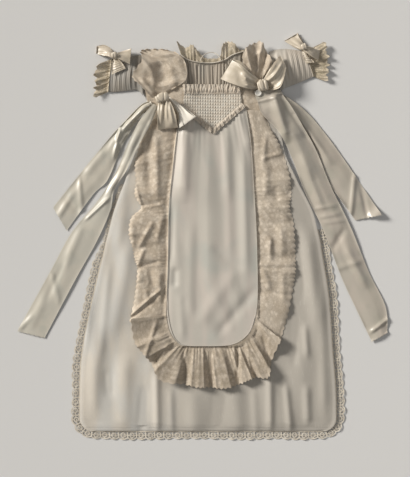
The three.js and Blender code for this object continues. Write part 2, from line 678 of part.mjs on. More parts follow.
// Strip between two edges given by a table: a ruffle, frill, cuff or ribbon end.
// u runs across it from the first edge to the second, v along it from row to row.
function strip(name, table, keys, columns, rows, finish, extra = {}) {
  const last = table.length - 1;
  const plan = (u, v) => {
    const place = v * last;
    return [
      lerp(read(table, keys.x1, place), read(table, keys.x2, place), u),
      lerp(read(table, keys.y1, place), read(table, keys.y2, place), u),
    ];
  };
  return { name, columns, rows, plan, finish, ...extra };
}

const GATHERED = { x1: 'inX', y1: 'inY', x2: 'outX', y2: 'outY' };
const EDGES = { x1: 'aX', y1: 'aY', x2: 'bX', y2: 'bY' };
const SLEEVE_EDGES = { x1: 'topX', y1: 'topY', x2: 'lowX', y2: 'lowY' };

// A gathered strip stands higher towards its free edge, as far as its table says at each row.
function ruffle(name, table, columns, rows, finish, extra = {}) {
  const lift = (u, v) => Math.max(0, read(table, 'rise', v * (table.length - 1))) * Math.pow(u, 0.8);
  return strip(name, table, GATHERED, columns, rows, finish, { lift, ...extra });
}

// A ribbon end arches along its middle.
function ribbonEnd(name, table, rows) {
  const lift = (u, v) => Math.max(0, read(table, 'rise', v * (table.length - 1))) * Math.sin(Math.PI * u);
  return strip(name, table, EDGES, 3, rows, COLOUR.satin, { lift, thickness: RIBBON, passes: 2 });
}

// A bow loop is a tube that opens at the ribbon's two edges, flat at the knot and at the tip.
function bowLoop(name, table, columns) {
  const last = table.length - 1;
  const edge = 3.4;
  const plan = (u, v) => [
    lerp(read(table, 'aX', u * last), read(table, 'bX', u * last), v),
    lerp(read(table, 'aY', u * last), read(table, 'bY', u * last), v),
  ];
  const height = (u, v) => {
    const sag = 1 - 0.25 * Math.sin(Math.PI * v);
    return Math.max(edge, read(table, 'puff', u * last) * sag);
  };
  return { name, columns, rows: 3, plan, height, thickness: RIBBON, finish: COLOUR.satin };
}

// A sleeve is a flattened tube with narrow tucks round it, which end before the armhole.
function sleeve(name, table) {
  const sideHeight = 3.4;
  const rows = 2 * SLEEVE_TUCKS.count + 2;
  const height = (u, v) => {
    const full = read(table, 'full', v * (table.length - 1));
    const ridge = Math.round(v * rows) % 2 === 1 ? SLEEVE_TUCKS.rise : 0;
    const onRidge = v > 1.5 / rows ? ridge : 0;
    return sideHeight + (full - sideHeight + onRidge) * Math.pow(Math.sin(Math.PI * u), 0.7);
  };
  return strip(name, table, SLEEVE_EDGES, 5, rows, COLOUR.gauze, { height, passes: 0 });
}

// A lace cuff starts a seam's gap past its sleeve's end.
function cuff(name, table, sleeveTable, outward, rows) {
  const end = sleeveTable[sleeveTable.length - 1];
  const seamGap = 0.6 * outward;
  const full = table.map((row, k) => {
    const share = k / (table.length - 1);
    return { ...row, inX: lerp(end.topX, end.lowX, share) + seamGap, inY: lerp(end.topY, end.lowY, share) };
  });
  return ruffle(name, full, 3, rows, COLOUR.lace);
}

// Raised puckers across a frill, highest at its free edge.
function puckered(name, edges, puckers, rise, rows = 2) {
  const columns = 2 * puckers;
  const [inner, outer] = [edges.inner, edges.outer].map(([start, end]) => (u) => start.map((a, k) => lerp(a, end[k], u)));
  const plan = (u, v) => inner(u).map((a, k) => lerp(a, outer(u)[k], v));
  const relief = (i, j) => (i % 2 === 1 ? rise * (0.45 + 0.55 * j / rows) : 0);
  return { name, columns, rows, plan, relief, finish: COLOUR.smocking };
}

// Round cord through points, laid on the bed: sides are flat faces, both ends are closed.
function cord(name, route, { radius, sides, steps }, finish) {
  const curve = new THREE.CatmullRomCurve3(route.map(({ x, y }) => new THREE.Vector3(x, y, 0)));
  const resting = (t) => {
    const point = curve.getPointAt(t);
    const side = [[-1, -1], [1, -1], [1, 1], [-1, 1]].map(([dx, dy]) => new THREE.Vector3(
      point.x + 2 * radius * dx,
      point.y + 2 * radius * dy,
      0,
    ));
    return Math.max(bed.highestUnder(side.slice(0, 3)), bed.highestUnder([side[0], side[2], side[3]]));
  };
  const heights = Array.from({ length: steps + 1 }, (_, k) => resting(k / steps));
  const places = heights.map((_, k) => {
    const point = curve.getPointAt(k / steps);
    const support = Math.max(...heights.slice(Math.max(0, k - 1), k + 2));
    const rise = read(route, 'rise', (route.length - 1) * k / steps) || 0;
    return new THREE.Vector3(point.x, point.y, support + SEAM_GAP + radius + rise);
  });
  const points = [];
  places.forEach((place, k) => {
    const along = curve.getTangentAt(k / steps);
    for (let s = 0; s < sides; s++) {
      const angle = 2 * Math.PI * (s + 0.5) / sides;
      const out = Math.cos(angle) * radius;
      points.push(new THREE.Vector3(place.x - along.y * out, place.y + along.x * out, place.z + Math.sin(angle) * radius));
    }
  });
  const triangles = [];
  for (let k = 0; k < steps; k++) {
    for (let s = 0; s < sides; s++) {
      const [a, b] = [k * sides + s, k * sides + (s + 1) % sides];
      triangles.push(...quad(a, b, b + sides, a + sides));
    }
  }
  const end = steps * sides;
  for (let s = 1; s < sides - 1; s++) {
    triangles.push([0, s + 1, s], [end, end + s, end + s + 1]);
  }
  addPiece(name, closedGeometry(points, triangles), finish);
  triangles.forEach((corners) => bed.cover(corners.map((k) => points[k])));
}

// Flat scalloped lace along the skirt's edge, with one open hole in each full scallop.
// Each scallop has an inner point, a valley and two crest points, then the four corners of its hole.
const SCALLOP = { inner: 0, valley: 1, crestA: 2, crestB: 3, hole: [4, 5, 6, 7], size: 8 };
const NEXT_INNER = SCALLOP.size + SCALLOP.inner;
const NEXT_VALLEY = SCALLOP.size + SCALLOP.valley;

function scallopFaces(open) {
  const { inner, valley, crestA, crestB, hole: [h0, h1, h2, h3] } = SCALLOP;
  if (!open) {
    return [...quad(inner, NEXT_INNER, NEXT_VALLEY, crestB), ...quad(inner, crestB, crestA, valley)];
  }
  return [
    ...quad(inner, NEXT_INNER, h1, h0),
    ...quad(NEXT_INNER, NEXT_VALLEY, h2, h1),
    [NEXT_VALLEY, crestB, h2],
    ...quad(crestB, crestA, h3, h2),
    [crestA, valley, h3],
    ...quad(valley, inner, h0, h3),
  ];
}

// The lace lies narrow along the upper left side, where it is turned under.
function laceWidth({ x, y }) {
  const fade = clamp((LACE_NARROW.fullFromY + LACE_NARROW.fadeLength - y) / LACE_NARROW.fadeLength, 0, 1);
  return x < 0 ? lerp(LACE_NARROW.width, LACE.width, fade) : LACE.width;
}

function hemLace(name, edge, start, end) {
  const scallops = Math.round((end - start) * edge.getLength() / LACE.scallop);
  const place = (share, out, z) => {
    const t = clamp(lerp(start, end, share), 0, 1);
    const point = edge.getPointAt(t);
    const along = edge.getTangentAt(t);
    return new THREE.Vector3(point.x + along.y * out, point.y - along.x * out, z);
  };
  const half = LACE.holeWide / 2 / LACE.scallop;
  const [near, far] = [LACE.holeCentre - LACE.holeDeep / 2, LACE.holeCentre + LACE.holeDeep / 2];
  const skins = [0, CLOTH].map((z) => {
    const points = [];
    for (let k = 0; k <= scallops; k++) {
      const share = (part) => (k + part) / scallops;
      const width = laceWidth(edge.getPointAt(clamp(lerp(start, end, share(0)), 0, 1)));
      const dip = LACE.dip * width / LACE.width;
      points.push(place(share(0), -LACE.tuckIn, z), place(share(0), width - dip, z));
      if (k === scallops) break;
      points.push(...LACE.crest.map((part) => place(share(part), width, z)));
      points.push(place(share(0.5 - half), near, z), place(share(0.5 + half), near, z));
      points.push(place(share(0.5 + half), far, z), place(share(0.5 - half), far, z));
    }
    return points;
  });
  const over = skins[0].length;
  const wallBetween = (a, b) => quad(a, b, b + over, a + over);
  const triangles = [...wallBetween(SCALLOP.valley, SCALLOP.inner)];
  const lastStart = scallops * SCALLOP.size;
  triangles.push(...wallBetween(lastStart + SCALLOP.inner, lastStart + SCALLOP.valley));
  for (let k = 0; k < scallops; k++) {
    const first = k * SCALLOP.size;
    const open = laceWidth(edge.getPointAt(clamp(lerp(start, end, k / scallops), 0, 1))) > 0.9 * LACE.width;
    const ring = [SCALLOP.inner, NEXT_INNER, NEXT_VALLEY, SCALLOP.crestB, SCALLOP.crestA, SCALLOP.valley];
    for (const [a, b, c] of scallopFaces(open)) {
      triangles.push([first + a, first + c, first + b], [first + a + over, first + b + over, first + c + over]);
    }
    triangles.push(...wallBetween(first + ring[0], first + ring[1]));
    for (const side of [2, 3, 4]) {
      triangles.push(...wallBetween(first + ring[side], first + ring[side + 1]));
    }
    if (open) {
      SCALLOP.hole.forEach((corner, c) => {
        triangles.push(...wallBetween(first + SCALLOP.hole[(c + 1) % 4], first + corner));
      });
    }
  }
  const points = skins.flat();
  addPiece(name, closedGeometry(points, triangles), COLOUR.edging);
  triangles.forEach((corners) => bed.cover(corners.map((k) => points[k])));
}

// The skirt's edge as one curve, from the left side round the hem to the right side.
function skirtEdge(outline) {
  const sideSteps = 28;
  const hemSteps = 10;
  const rows = Array.from({ length: sideSteps + 1 }, (_, k) => outline(k / sideSteps));
  const below = rows.filter(({ y }) => y < LACE_LEFT_TOP_Y);
  const low = below[below.length - 1];
  const hem = Array.from({ length: hemSteps - 1 }, (_, k) => new THREE.Vector2(
    lerp(low.left, low.right, (k + 1) / hemSteps),
    low.y,
  ));
  const left = below.map(({ y, left: x }) => new THREE.Vector2(x, y));
  const right = below.map(({ y, right: x }) => new THREE.Vector2(x, y)).reverse();
  return new THREE.SplineCurve([...left, ...hem, ...right]);
}

// Lowers a small piece until it is a seam's gap above what lies under it. The bed's steps make what
// lies there seem a little higher than it is, by about the slack.
function dropOnBed(geometry) {
  const flat = geometry.index ? geometry.toNonIndexed() : geometry;
  const spots = flat.getAttribute('position');
  let shift = -Infinity;
  for (let k = 0; k < spots.count; k += 3) {
    const corners = [0, 1, 2].map((corner) => new THREE.Vector3().fromBufferAttribute(spots, k + corner));
    shift = Math.max(shift, bed.riseNeeded(corners) + SEAM_GAP);
  }
  geometry.translate(0, 0, shift - BED_SLACK);
}

// Pinched bundle of ribbon at the middle of a bow.
function knot({ name, x, y, long, wide, high, turn, folds }) {
  const geometry = new THREE.SphereGeometry(1, 12, 6);
  const spots = geometry.getAttribute('position');
  const angle = THREE.MathUtils.degToRad(turn);
  for (let k = 0; k < spots.count; k++) {
    const point = new THREE.Vector3().fromBufferAttribute(spots, k);
    const crease = 1 + 0.1 * Math.cos(folds * Math.PI * point.x) * (1 - Math.abs(point.x));
    point.set(point.x * long, point.y * wide * crease, Math.max(point.z, -0.6) * high * crease);
    point.applyAxisAngle(new THREE.Vector3(0, 0, 1), angle);
    spots.setXYZ(k, point.x, point.y, point.z);
  }
  geometry.translate(x, y, 0);
  dropOnBed(geometry);
  addPiece(name, geometry, COLOUR.satin);
}

// Dished shell button.
function button({ radius, thick, dish, segments, x, y }) {
  const profile = [
    [0, 0],
    [0.8 * radius, 0],
    [radius, 0.5 * thick],
    [0.9 * radius, thick],
    [0.7 * radius, thick],
    [0.4 * radius, thick - dish],
    [0, thick - dish],
  ].map(([r, z]) => new THREE.Vector2(r, z));
  const geometry = new THREE.LatheGeometry(profile, segments).rotateX(Math.PI / 2);
  geometry.translate(x, y, 0);
  dropOnBed(geometry);
  addPiece('button_right', geometry, COLOUR.pearl);
}

// The layers on the table: backs, sleeves and the lace at the skirt's edge.
const skirtOutline = panelOutline(SKIRT_SIDES, WAIST_Y, HEM_Y, SKIRT_CORNER);
const backOutline = panelOutline(SKIRT_SIDES, WAIST_Y, HEM_Y + SKIRT_BACK_INSET, SKIRT_CORNER, SKIRT_BACK_INSET);
const slipOutline = panelOutline(SKIRT_SIDES, SLIP_TOP_Y, HEM_Y + SLIP_HEM_RISE, SKIRT_CORNER, SLIP_INSET);
const edge = skirtEdge(skirtOutline);
lay(
  panel('skirt_back', backOutline, 6, 12, COLOUR.gauze),
  panel('bodice_back', tableOutline(BODICE_BACK), 5, 3, COLOUR.gauze),
  sleeve('sleeve_left', SLEEVE_LEFT),
  sleeve('sleeve_right', SLEEVE_RIGHT),
  cuff('cuff_lace_left', CUFF_LEFT, SLEEVE_LEFT, -1, 15),
  cuff('cuff_lace_right', CUFF_RIGHT, SLEEVE_RIGHT, 1, 12),
);
hemLace('hem_lace_left', edge, 0, LACE_LENGTHS.left - LACE_LENGTHS.cut);
hemLace('hem_lace_bottom', edge, LACE_LENGTHS.left, LACE_LENGTHS.bottom - LACE_LENGTHS.cut);
hemLace('hem_lace_right', edge, LACE_LENGTHS.bottom, LACE_LENGTHS.right);

lay(panel('slip_back', slipOutline, 4, 10, COLOUR.satin));
lay(panel('slip_front', slipOutline, 6, 10, COLOUR.satin));
lay(foldedPanel('skirt_front', skirtOutline, 16, 15, COLOUR.gauze, SKIRT_FOLDS));

// The bodice front and the back neck's frill behind it.
lay(ruffle('neck_lace', NECK_LACE, 2, 22, COLOUR.lace));
lay(strip('tucked_front', TUCKED_FRONT, SLEEVE_EDGES, 2, 2 * TUCK.count, COLOUR.gauze, {
  relief: (i, j) => (j % 2 === 1 ? TUCK.rise : 0),
}));
lay(panel('side_lace_left', tableOutline(SIDE_LACE_LEFT), 5, 5, COLOUR.lace));
lay(panel('side_lace_right', tableOutline(SIDE_LACE_RIGHT), 5, 5, COLOUR.lace));

// The long front panel with its ruffle and piping.
const panelShape = panelOutline(PANEL_SIDES, PANEL_TOP_Y, PANEL_BOTTOM_Y, PANEL_CORNER);
lay(foldedPanel('front_panel', panelShape, 9, 13, COLOUR.panel, PANEL_FOLDS));
lay(
  ruffle('ruffle_left', RUFFLE_LEFT, 4, 28, COLOUR.lace),
  ruffle('ruffle_bottom', RUFFLE_BOTTOM, 4, 28, COLOUR.lace),
  ruffle('ruffle_right', RUFFLE_RIGHT, 4, 28, COLOUR.lace),
);
const pipingRoute = [
  ...PIPING_DOWN.map((v) => ({ x: panelShape(v).left, y: panelShape(v).y })),
  ...PIPING_UP.map((v) => ({ x: panelShape(v).right, y: panelShape(v).y })),
];
cord('panel_piping', pipingRoute, PIPING, COLOUR.panel);

// The smocked point with its frills.
lay(panel('smocked_point', tableOutline(SMOCKED_POINT), SMOCK.columns, SMOCK.rows, COLOUR.smocking, {
  relief: (i, j) => ((i + j) % 2 === 1 ? SMOCK.rise : 0),
}));
lay(puckered('smock_frill_top', FRILL_EDGES.top, FRILL_ROW.puckers, FRILL_ROW.rise));
lay(
  puckered('point_frill_left', FRILL_EDGES.left, POINT_FRILL.puckers, POINT_FRILL.rise),
  puckered('point_frill_right', FRILL_EDGES.right, POINT_FRILL.puckers, POINT_FRILL.rise),
);
cord('neck_binding', NECKLINE, NECK_BINDING, COLOUR.satin);
cord('neck_cord', CORD_LOOP, NECK_CORD, COLOUR.satin);

lay(ruffle('shoulder_frill_left', SHOULDER_FRILL_LEFT, 5, 12, COLOUR.lace, { passes: 2 }));
lay(ruffle('shoulder_frill_right', SHOULDER_FRILL_RIGHT, 4, 12, COLOUR.lace, { passes: 2 }));

// Ribbons: the long ends first, then the loops over them, then the knots.
lay(ribbonEnd('waist_left_short_end', LEFT_SHORT_END, 14), ribbonEnd('waist_right_short_end', RIGHT_SHORT_END, 10));
lay(ribbonEnd('waist_left_long_end', LEFT_LONG_END, 16), ribbonEnd('waist_right_long_end', RIGHT_LONG_END, 16));
lay(bowLoop('waist_left_loop_side', WAIST_LEFT_SIDE, 5), bowLoop('waist_right_loop_out', WAIST_RIGHT_OUT, 6));
lay(bowLoop('waist_left_loop_low', WAIST_LEFT_LOW, 6), bowLoop('waist_right_loop_in', WAIST_RIGHT_IN, 6));
lay(ribbonEnd('sleeve_left_bow_end', SLEEVE_LEFT_TAIL, 4), ribbonEnd('sleeve_right_bow_end', SLEEVE_RIGHT_TAIL, 4));
lay(bowLoop('sleeve_left_loop_out', SLEEVE_LEFT_OUT, 5), bowLoop('sleeve_right_loop_in', SLEEVE_RIGHT_IN, 5));
lay(bowLoop('sleeve_left_loop_in', SLEEVE_LEFT_IN, 5), bowLoop('sleeve_right_loop_out', SLEEVE_RIGHT_OUT, 5));
KNOTS.forEach(knot);
button(BUTTON);

// The origin is under the middle of the gown, on the table.
const box = new THREE.Box3().setFromObject(gown);
const middle = box.getCenter(new THREE.Vector3());
gown.position.set(-middle.x, -middle.y, -box.min.z);

export default gown;
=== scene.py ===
# %% [markdown]
# # An infant's christening gown, laid flat
# The gown is laid on its back for a museum picture: a gauze skirt over a plain slip, a long satin panel
# with a wide lace ruffle, a tucked and smocked bodice, short sleeves, and ribbon bows with long ends.
# Cloth that lies flat is a stack of thin sheets, each settled on the ones below it. So this script keeps a
# map of how high the stack already is, and lays every piece on that map, just as hands would.
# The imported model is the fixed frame: it says where each piece lies and how high.

# %% Load the frame
import math

import bmesh
import bpy
import numpy as np
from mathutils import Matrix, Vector
from mathutils.bvhtree import BVHTree


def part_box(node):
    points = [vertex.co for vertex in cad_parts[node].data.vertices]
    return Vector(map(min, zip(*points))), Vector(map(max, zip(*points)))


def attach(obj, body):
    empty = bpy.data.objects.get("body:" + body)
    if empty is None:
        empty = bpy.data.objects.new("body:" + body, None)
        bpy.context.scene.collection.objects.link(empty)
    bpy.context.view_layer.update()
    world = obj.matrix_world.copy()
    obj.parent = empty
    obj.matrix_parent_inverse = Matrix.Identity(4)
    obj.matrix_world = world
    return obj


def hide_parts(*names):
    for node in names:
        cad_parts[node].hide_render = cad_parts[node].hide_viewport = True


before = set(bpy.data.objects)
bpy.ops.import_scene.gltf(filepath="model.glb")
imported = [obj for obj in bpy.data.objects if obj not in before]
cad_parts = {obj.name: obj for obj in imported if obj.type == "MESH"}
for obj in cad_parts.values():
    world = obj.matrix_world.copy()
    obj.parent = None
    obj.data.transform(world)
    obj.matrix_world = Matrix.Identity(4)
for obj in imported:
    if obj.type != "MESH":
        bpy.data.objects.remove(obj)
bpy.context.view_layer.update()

# %% [markdown]
# ## Camera, floor and light
# The picture was taken from straight above, so the camera looks down from far away with a long lens, which
# keeps raised folds from leaning outwards. A soft light from far on the left gives the folds a bright and a
# dark side, weaker ones on the right and above fill the shadows, and the surroundings lift the rest.

# %% Camera straight above
MM = 0.001
PIXEL_MM = 1.9
FRAME_HEIGHT_PIXELS = 477
VIEW_CENTRE_MM = (4.8, -4.1)
PICTURE_PLANE_MM = 8
LENS_MM = 120
SENSOR_MM = 36


def placed(name, data):
    """Puts an object with this data into the scene."""
    made = bpy.data.objects.new(name, data)
    bpy.context.scene.collection.objects.link(made)
    return made


camera_data = bpy.data.cameras.new("camera")
camera_data.lens = LENS_MM
camera_data.sensor_width = SENSOR_MM
camera = placed("camera", camera_data)
half_view = FRAME_HEIGHT_PIXELS * PIXEL_MM / 2
camera_height = half_view / (SENSOR_MM / 2 / LENS_MM) + PICTURE_PLANE_MM
camera.location = [v * MM for v in (*VIEW_CENTRE_MM, camera_height)]
bpy.context.scene.camera = camera
print("camera height", round(camera.location.z, 3))

# %% Floor and lights
FLOOR_COLOUR = (0.67, 0.665, 0.655)
FLOOR_HALF, FLOOR_Z = 6, -0.0006
KEY_ANGLE = 16
SURROUNDINGS = 0.17


def lamp(kind, name, place, energy, colour):
    """A lamp that faces the middle of the gown."""
    data = bpy.data.lights.new(name, kind)
    data.energy, data.color = energy, colour
    light = placed(name, data)
    light.location = place
    light.rotation_euler = (-Vector(place)).to_track_quat("-Z", "Y").to_euler()
    return data


key = lamp("SUN", "key_left", (-3.0, 1.5, 1.65), 4.3, (1.0, 0.965, 0.91))
key.angle = math.radians(KEY_ANGLE)
for name, place, size, watts, colour in (
    ("fill_right", (2.0, 0.4, 1.7), 1.6, 6, (0.97, 0.98, 1.0)),
    ("top_soft", (0.1, -0.6, 3.4), 1.8, 9, (1.0, 0.98, 0.95)),
):
    softbox = lamp("AREA", name, place, watts, colour)
    softbox.shape, softbox.size = "SQUARE", size
world = bpy.data.worlds.new("studio")
world.use_nodes = True
background = world.node_tree.nodes["Background"].inputs
background["Color"].default_value = (1.0, 0.985, 0.96, 1)
background["Strength"].default_value = SURROUNDINGS
bpy.context.scene.world = world
bpy.context.scene.view_settings.view_transform = "Standard"

floor_mesh = bpy.data.meshes.new("floor")
floor_net = bmesh.new()
bmesh.ops.create_grid(floor_net, x_segments=1, y_segments=1, size=FLOOR_HALF)
bmesh.ops.translate(floor_net, verts=floor_net.verts, vec=(0, 0, FLOOR_Z))
floor_net.to_mesh(floor_mesh)
floor_net.free()
floor = placed("floor", floor_mesh)

# %% [markdown]
# ## Writing finishes as sums
# A finish is a recipe of shader nodes. The class below wraps a socket so that plain arithmetic, such as
# 1 - mask or weave * 0.2, adds the nodes. Everything else comes from one method, add.

# %% Shader sums


class Wire:
    """A shader socket that can be reckoned with."""

    def __init__(self, finish, socket):
        self.finish, self.socket = finish, socket

    def reckon(self, operation, *values):
        node = self.finish.add("ShaderNodeMath", {"operation": operation}, dict(enumerate(values)))
        return Wire(self.finish, node.outputs[0])

    def __add__(self, other):
        return self.reckon("ADD", self, other)

    def __sub__(self, other):
        return self.reckon("SUBTRACT", self, other)

    def __rsub__(self, other):
        return self.reckon("SUBTRACT", other, self)

    def __mul__(self, other):
        return self.reckon("MULTIPLY", self, other)

    def wave(self, pitch):
        """Runs from -1 to 1 and back once in each pitch."""
        return (self * (2 * math.pi / pitch)).reckon("SINE")

    __radd__, __rmul__ = __add__, __mul__


class Finish:
    """One material and its nodes."""

    def __init__(self, name):
        self.material = bpy.data.materials.new(name)
        self.material.use_nodes = True
        self.tree = self.material.node_tree
        self.tree.nodes.clear()

    def add(self, kind, settings=None, sockets=None):
        """Any node: its settings first, then its sockets' values or links."""
        node = self.tree.nodes.new(kind)
        for key, value in (settings or {}).items():
            setattr(node, key, value)
        for key, value in (sockets or {}).items():
            if isinstance(value, Wire):
                self.tree.links.new(value.socket, node.inputs[key])
            else:
                node.inputs[key].default_value = value
        return node

    def place(self):
        """Object coordinates, which are metres in the gown's own frame."""
        return Wire(self, self.add("ShaderNodeTexCoord").outputs["Object"])

    def cloth(self):
        """The piece's own map: metres across it and along it."""
        return Wire(self, self.add("ShaderNodeUVMap", {"uv_map": "cloth"}).outputs[0])

    def parts(self, vector):
        node = self.add("ShaderNodeSeparateXYZ", None, {0: vector})
        return [Wire(self, node.outputs[k]) for k in range(3)]

    def scaled(self, vector, factors):
        node = self.add("ShaderNodeVectorMath", {"operation": "MULTIPLY"}, {0: vector, 1: factors})
        return Wire(self, node.outputs[0])

    def noise(self, vector, scale, detail=2.0):
        sockets = {"Vector": vector, "Scale": scale, "Detail": detail}
        return Wire(self, self.add("ShaderNodeTexNoise", None, sockets).outputs[0])

    def cells(self, vector, scale, feature, jitter):
        sockets = {"Vector": vector, "Scale": scale, "Randomness": jitter}
        return Wire(self, self.add("ShaderNodeTexVoronoi", {"feature": feature}, sockets).outputs["Distance"])

    def step(self, value, low, high):
        """0 below low, 1 above high and a smooth rise between."""
        settings = {"interpolation_type": "SMOOTHSTEP"}
        node = self.add("ShaderNodeMapRange", settings, {"Value": value, "From Min": low, "From Max": high})
        return Wire(self, node.outputs[0])

    def mix(self, share, first, second):
        """Mixes two colours, by a share that may vary."""
        node = self.add("ShaderNodeMix", {"data_type": "RGBA"}, {0: share})
        for index, value in ((6, first), (7, second)):
            if isinstance(value, Wire):
                self.tree.links.new(value.socket, node.inputs[index])
            else:
                node.inputs[index].default_value = (*value, 1)
        return Wire(self, node.outputs[2])

    def bump(self, height, distance, strength):
        sockets = {"Height": height, "Distance": distance, "Strength": strength}
        return Wire(self, self.add("ShaderNodeBump", None, sockets).outputs[0])

    def shade(self, **values):
        """The surface itself. Names use _ for a space, as in Base_Color."""
        sockets = {key.replace("_", " "): value for key, value in values.items()}
        surface = self.add("ShaderNodeBsdfPrincipled", None, sockets)
        output = self.add("ShaderNodeOutputMaterial")
        self.tree.links.new(surface.outputs[0], output.inputs["Surface"])
        return self.material


floor_finish = Finish("floor_paper")
grain = floor_finish.noise(floor_finish.place(), 900)
floor_mesh.materials.append(floor_finish.shade(
    Base_Color=floor_finish.mix(grain, [c * 0.985 for c in FLOOR_COLOUR], FLOOR_COLOUR),
    Roughness=0.9,
))

# %% [markdown]
# ## The cloths
# Gauze is so thin that what lies under it shows through, so it is partly transparent. Satin has long
# floating threads that catch the light. Lace is thread and gaps: the gaps are see-through spots of the
# sheet, and the motifs are closer and paler. Old silk is never one colour, so each finish drifts a little
# between a warm and a cool shade.

# %% Gauze, with a firmer rolled hem
WEAVE_MM = 0.9
# How much darker the skirt and slip are made towards the right and the hem.
RIGHT_AND_HEM_DARKENING = 0.75


def darken_right_and_hem(finish, colour, plain):
    """The skirt and slip are darker towards the right and the hem."""
    x, y, _ = finish.parts(finish.place())
    share = finish.step(x - y * 0.35, -0.05, 0.16)
    return finish.mix(share, colour, [c * RIGHT_AND_HEM_DARKENING for c in plain])


def crossed_threads(across, along, pitch):
    """A plain weave: threads both ways, from 0 between them to 1 on them."""
    over = across.wave(pitch) * 0.5 + 0.5
    under = along.wave(pitch) * 0.5 + 0.5
    return over.reckon("MAXIMUM", over, under)


def gauze_finish(name, warm, cool, alpha, hemmed=False):
    finish = Finish(name)
    place = finish.place()
    x, y, _ = finish.parts(place)
    threads = crossed_threads(x, y, WEAVE_MM * MM)
    drift = finish.noise(finish.scaled(place, (1.0, 0.35, 1.0)), 22, 3)
    cover = alpha + threads * 0.10 + drift * 0.10
    if hemmed:
        hem = Wire(finish, finish.add("ShaderNodeAttribute", {"attribute_name": "hem"}).outputs["Fac"])
        cover = cover + hem * 0.3
    slub = finish.noise(finish.scaled(place, (900, 60, 1)), 1.0, 1)
    tone = finish.mix(finish.step(drift, 0.38, 0.62), warm, cool)
    # Hemmed gauze is also made darker towards the right and the hem.
    if hemmed:
        tone = darken_right_and_hem(finish, tone, warm)
    return finish.shade(
        Base_Color=finish.mix(finish.step(slub, 0.62, 0.78) * 0.35, tone, [c * 1.2 for c in warm]),
        Roughness=0.62,
        Alpha=cover.reckon("MINIMUM", cover, 1.0),
        Sheen_Weight=0.25,
        Sheen_Roughness=0.4,
        Normal=finish.bump(threads, 0.00012, 0.5),
    )


skirt_gauze = gauze_finish("skirt_gauze", (0.79, 0.735, 0.65), (0.74, 0.72, 0.675), 0.40, hemmed=True)
bodice_gauze = gauze_finish("bodice_gauze", (0.53, 0.48, 0.41), (0.51, 0.485, 0.44), 0.66)
tucked_gauze = gauze_finish("tucked_gauze", (0.39, 0.335, 0.27), (0.37, 0.335, 0.28), 0.80)
# Sleeve gauze in two copies: painted shade on the left one and painted light on the right one, against the
# key light.
shaded_left_sleeve_gauze = gauze_finish("shaded_left_sleeve_gauze", (0.40, 0.36, 0.305), (0.385, 0.365, 0.33), 0.74)
lit_right_sleeve_gauze = gauze_finish("lit_right_sleeve_gauze", (0.57, 0.515, 0.44), (0.55, 0.525, 0.47), 0.74)

# %% Satins: the slip, the front panel and the ribbon


def satin_finish(name, shades, roughness, sheen, bands, coat=0.0, highlit_edges_ribbon_mm=None, darker_right_and_hem=False):
    """Shades are the base, a warm and a cool drift; bands stretch the drift along the cloth. A ribbon's width
    in mm puts a paler band on both edges, a painted highlight. A flag darkens it to the right and the hem."""
    finish = Finish(name)
    place = finish.place()
    cloth = finish.cloth()
    across, along, _ = finish.parts(cloth)
    soft = finish.noise(finish.scaled(place, bands), 1.0, 2)
    other = finish.noise(finish.scaled(place, (bands[1] * 2.5, bands[1] * 2, 1.0)), 1.0, 2)
    warmed = finish.mix(finish.step(soft, 0.42, 0.66), shades[0], shades[1])
    colour = finish.mix(finish.step(other, 0.5, 0.72), warmed, shades[2])
    # Darker towards the right and the hem, as the skirt is.
    if darker_right_and_hem:
        colour = darken_right_and_hem(finish, colour, shades[0])
    # A paler band along both ribbon edges, where the selvedge catches the light: a painted edge highlight.
    if highlit_edges_ribbon_mm:
        nearest = across.reckon("MINIMUM", across, highlit_edges_ribbon_mm * MM - across)
        edge = 1 - finish.step(nearest, 0.0007, 0.0016)
        colour = finish.mix(edge * 0.6, colour, [min(1, c * 1.3) for c in shades[0]])
    floats = along.wave(0.0007) * 0.5 + finish.noise(finish.scaled(cloth, (40, 900, 1)), 1.0, 1) * 0.8
    return finish.shade(
        Base_Color=colour,
        Roughness=roughness + finish.noise(finish.scaled(cloth, (30, 300, 1)), 1.0, 1) * 0.10,
        Sheen_Weight=sheen,
        Sheen_Roughness=0.35,
        Coat_Weight=coat,
        Coat_Roughness=0.35,
        Specular_IOR_Level=0.6,
        Normal=finish.bump(floats, 0.00006, 0.6),
    )


WAIST_RIBBON_MM = 50
SLEEVE_RIBBON_MM = 25
SLIP_SHADES = [(0.72, 0.68, 0.61), (0.75, 0.685, 0.60), (0.68, 0.665, 0.615)]
PANEL_SHADES = [(0.52, 0.485, 0.425), (0.56, 0.505, 0.445), (0.465, 0.46, 0.41)]
COOL_RIBBON_SHADES = [(0.545, 0.515, 0.44), (0.575, 0.53, 0.445), (0.495, 0.475, 0.405)]
RIBBON_SHADES = [(0.445, 0.405, 0.34), (0.475, 0.42, 0.355), (0.41, 0.38, 0.315)]
BOW_SHADES = [(0.55, 0.48, 0.38), (0.59, 0.515, 0.415), (0.50, 0.435, 0.335)]
# A paler copy of the bow satin for the side loop: painted light, as on a face turned to the lamp.
LIT_LOOP_SHADES = [(0.80, 0.75, 0.66), (0.82, 0.75, 0.65), (0.74, 0.70, 0.61)]

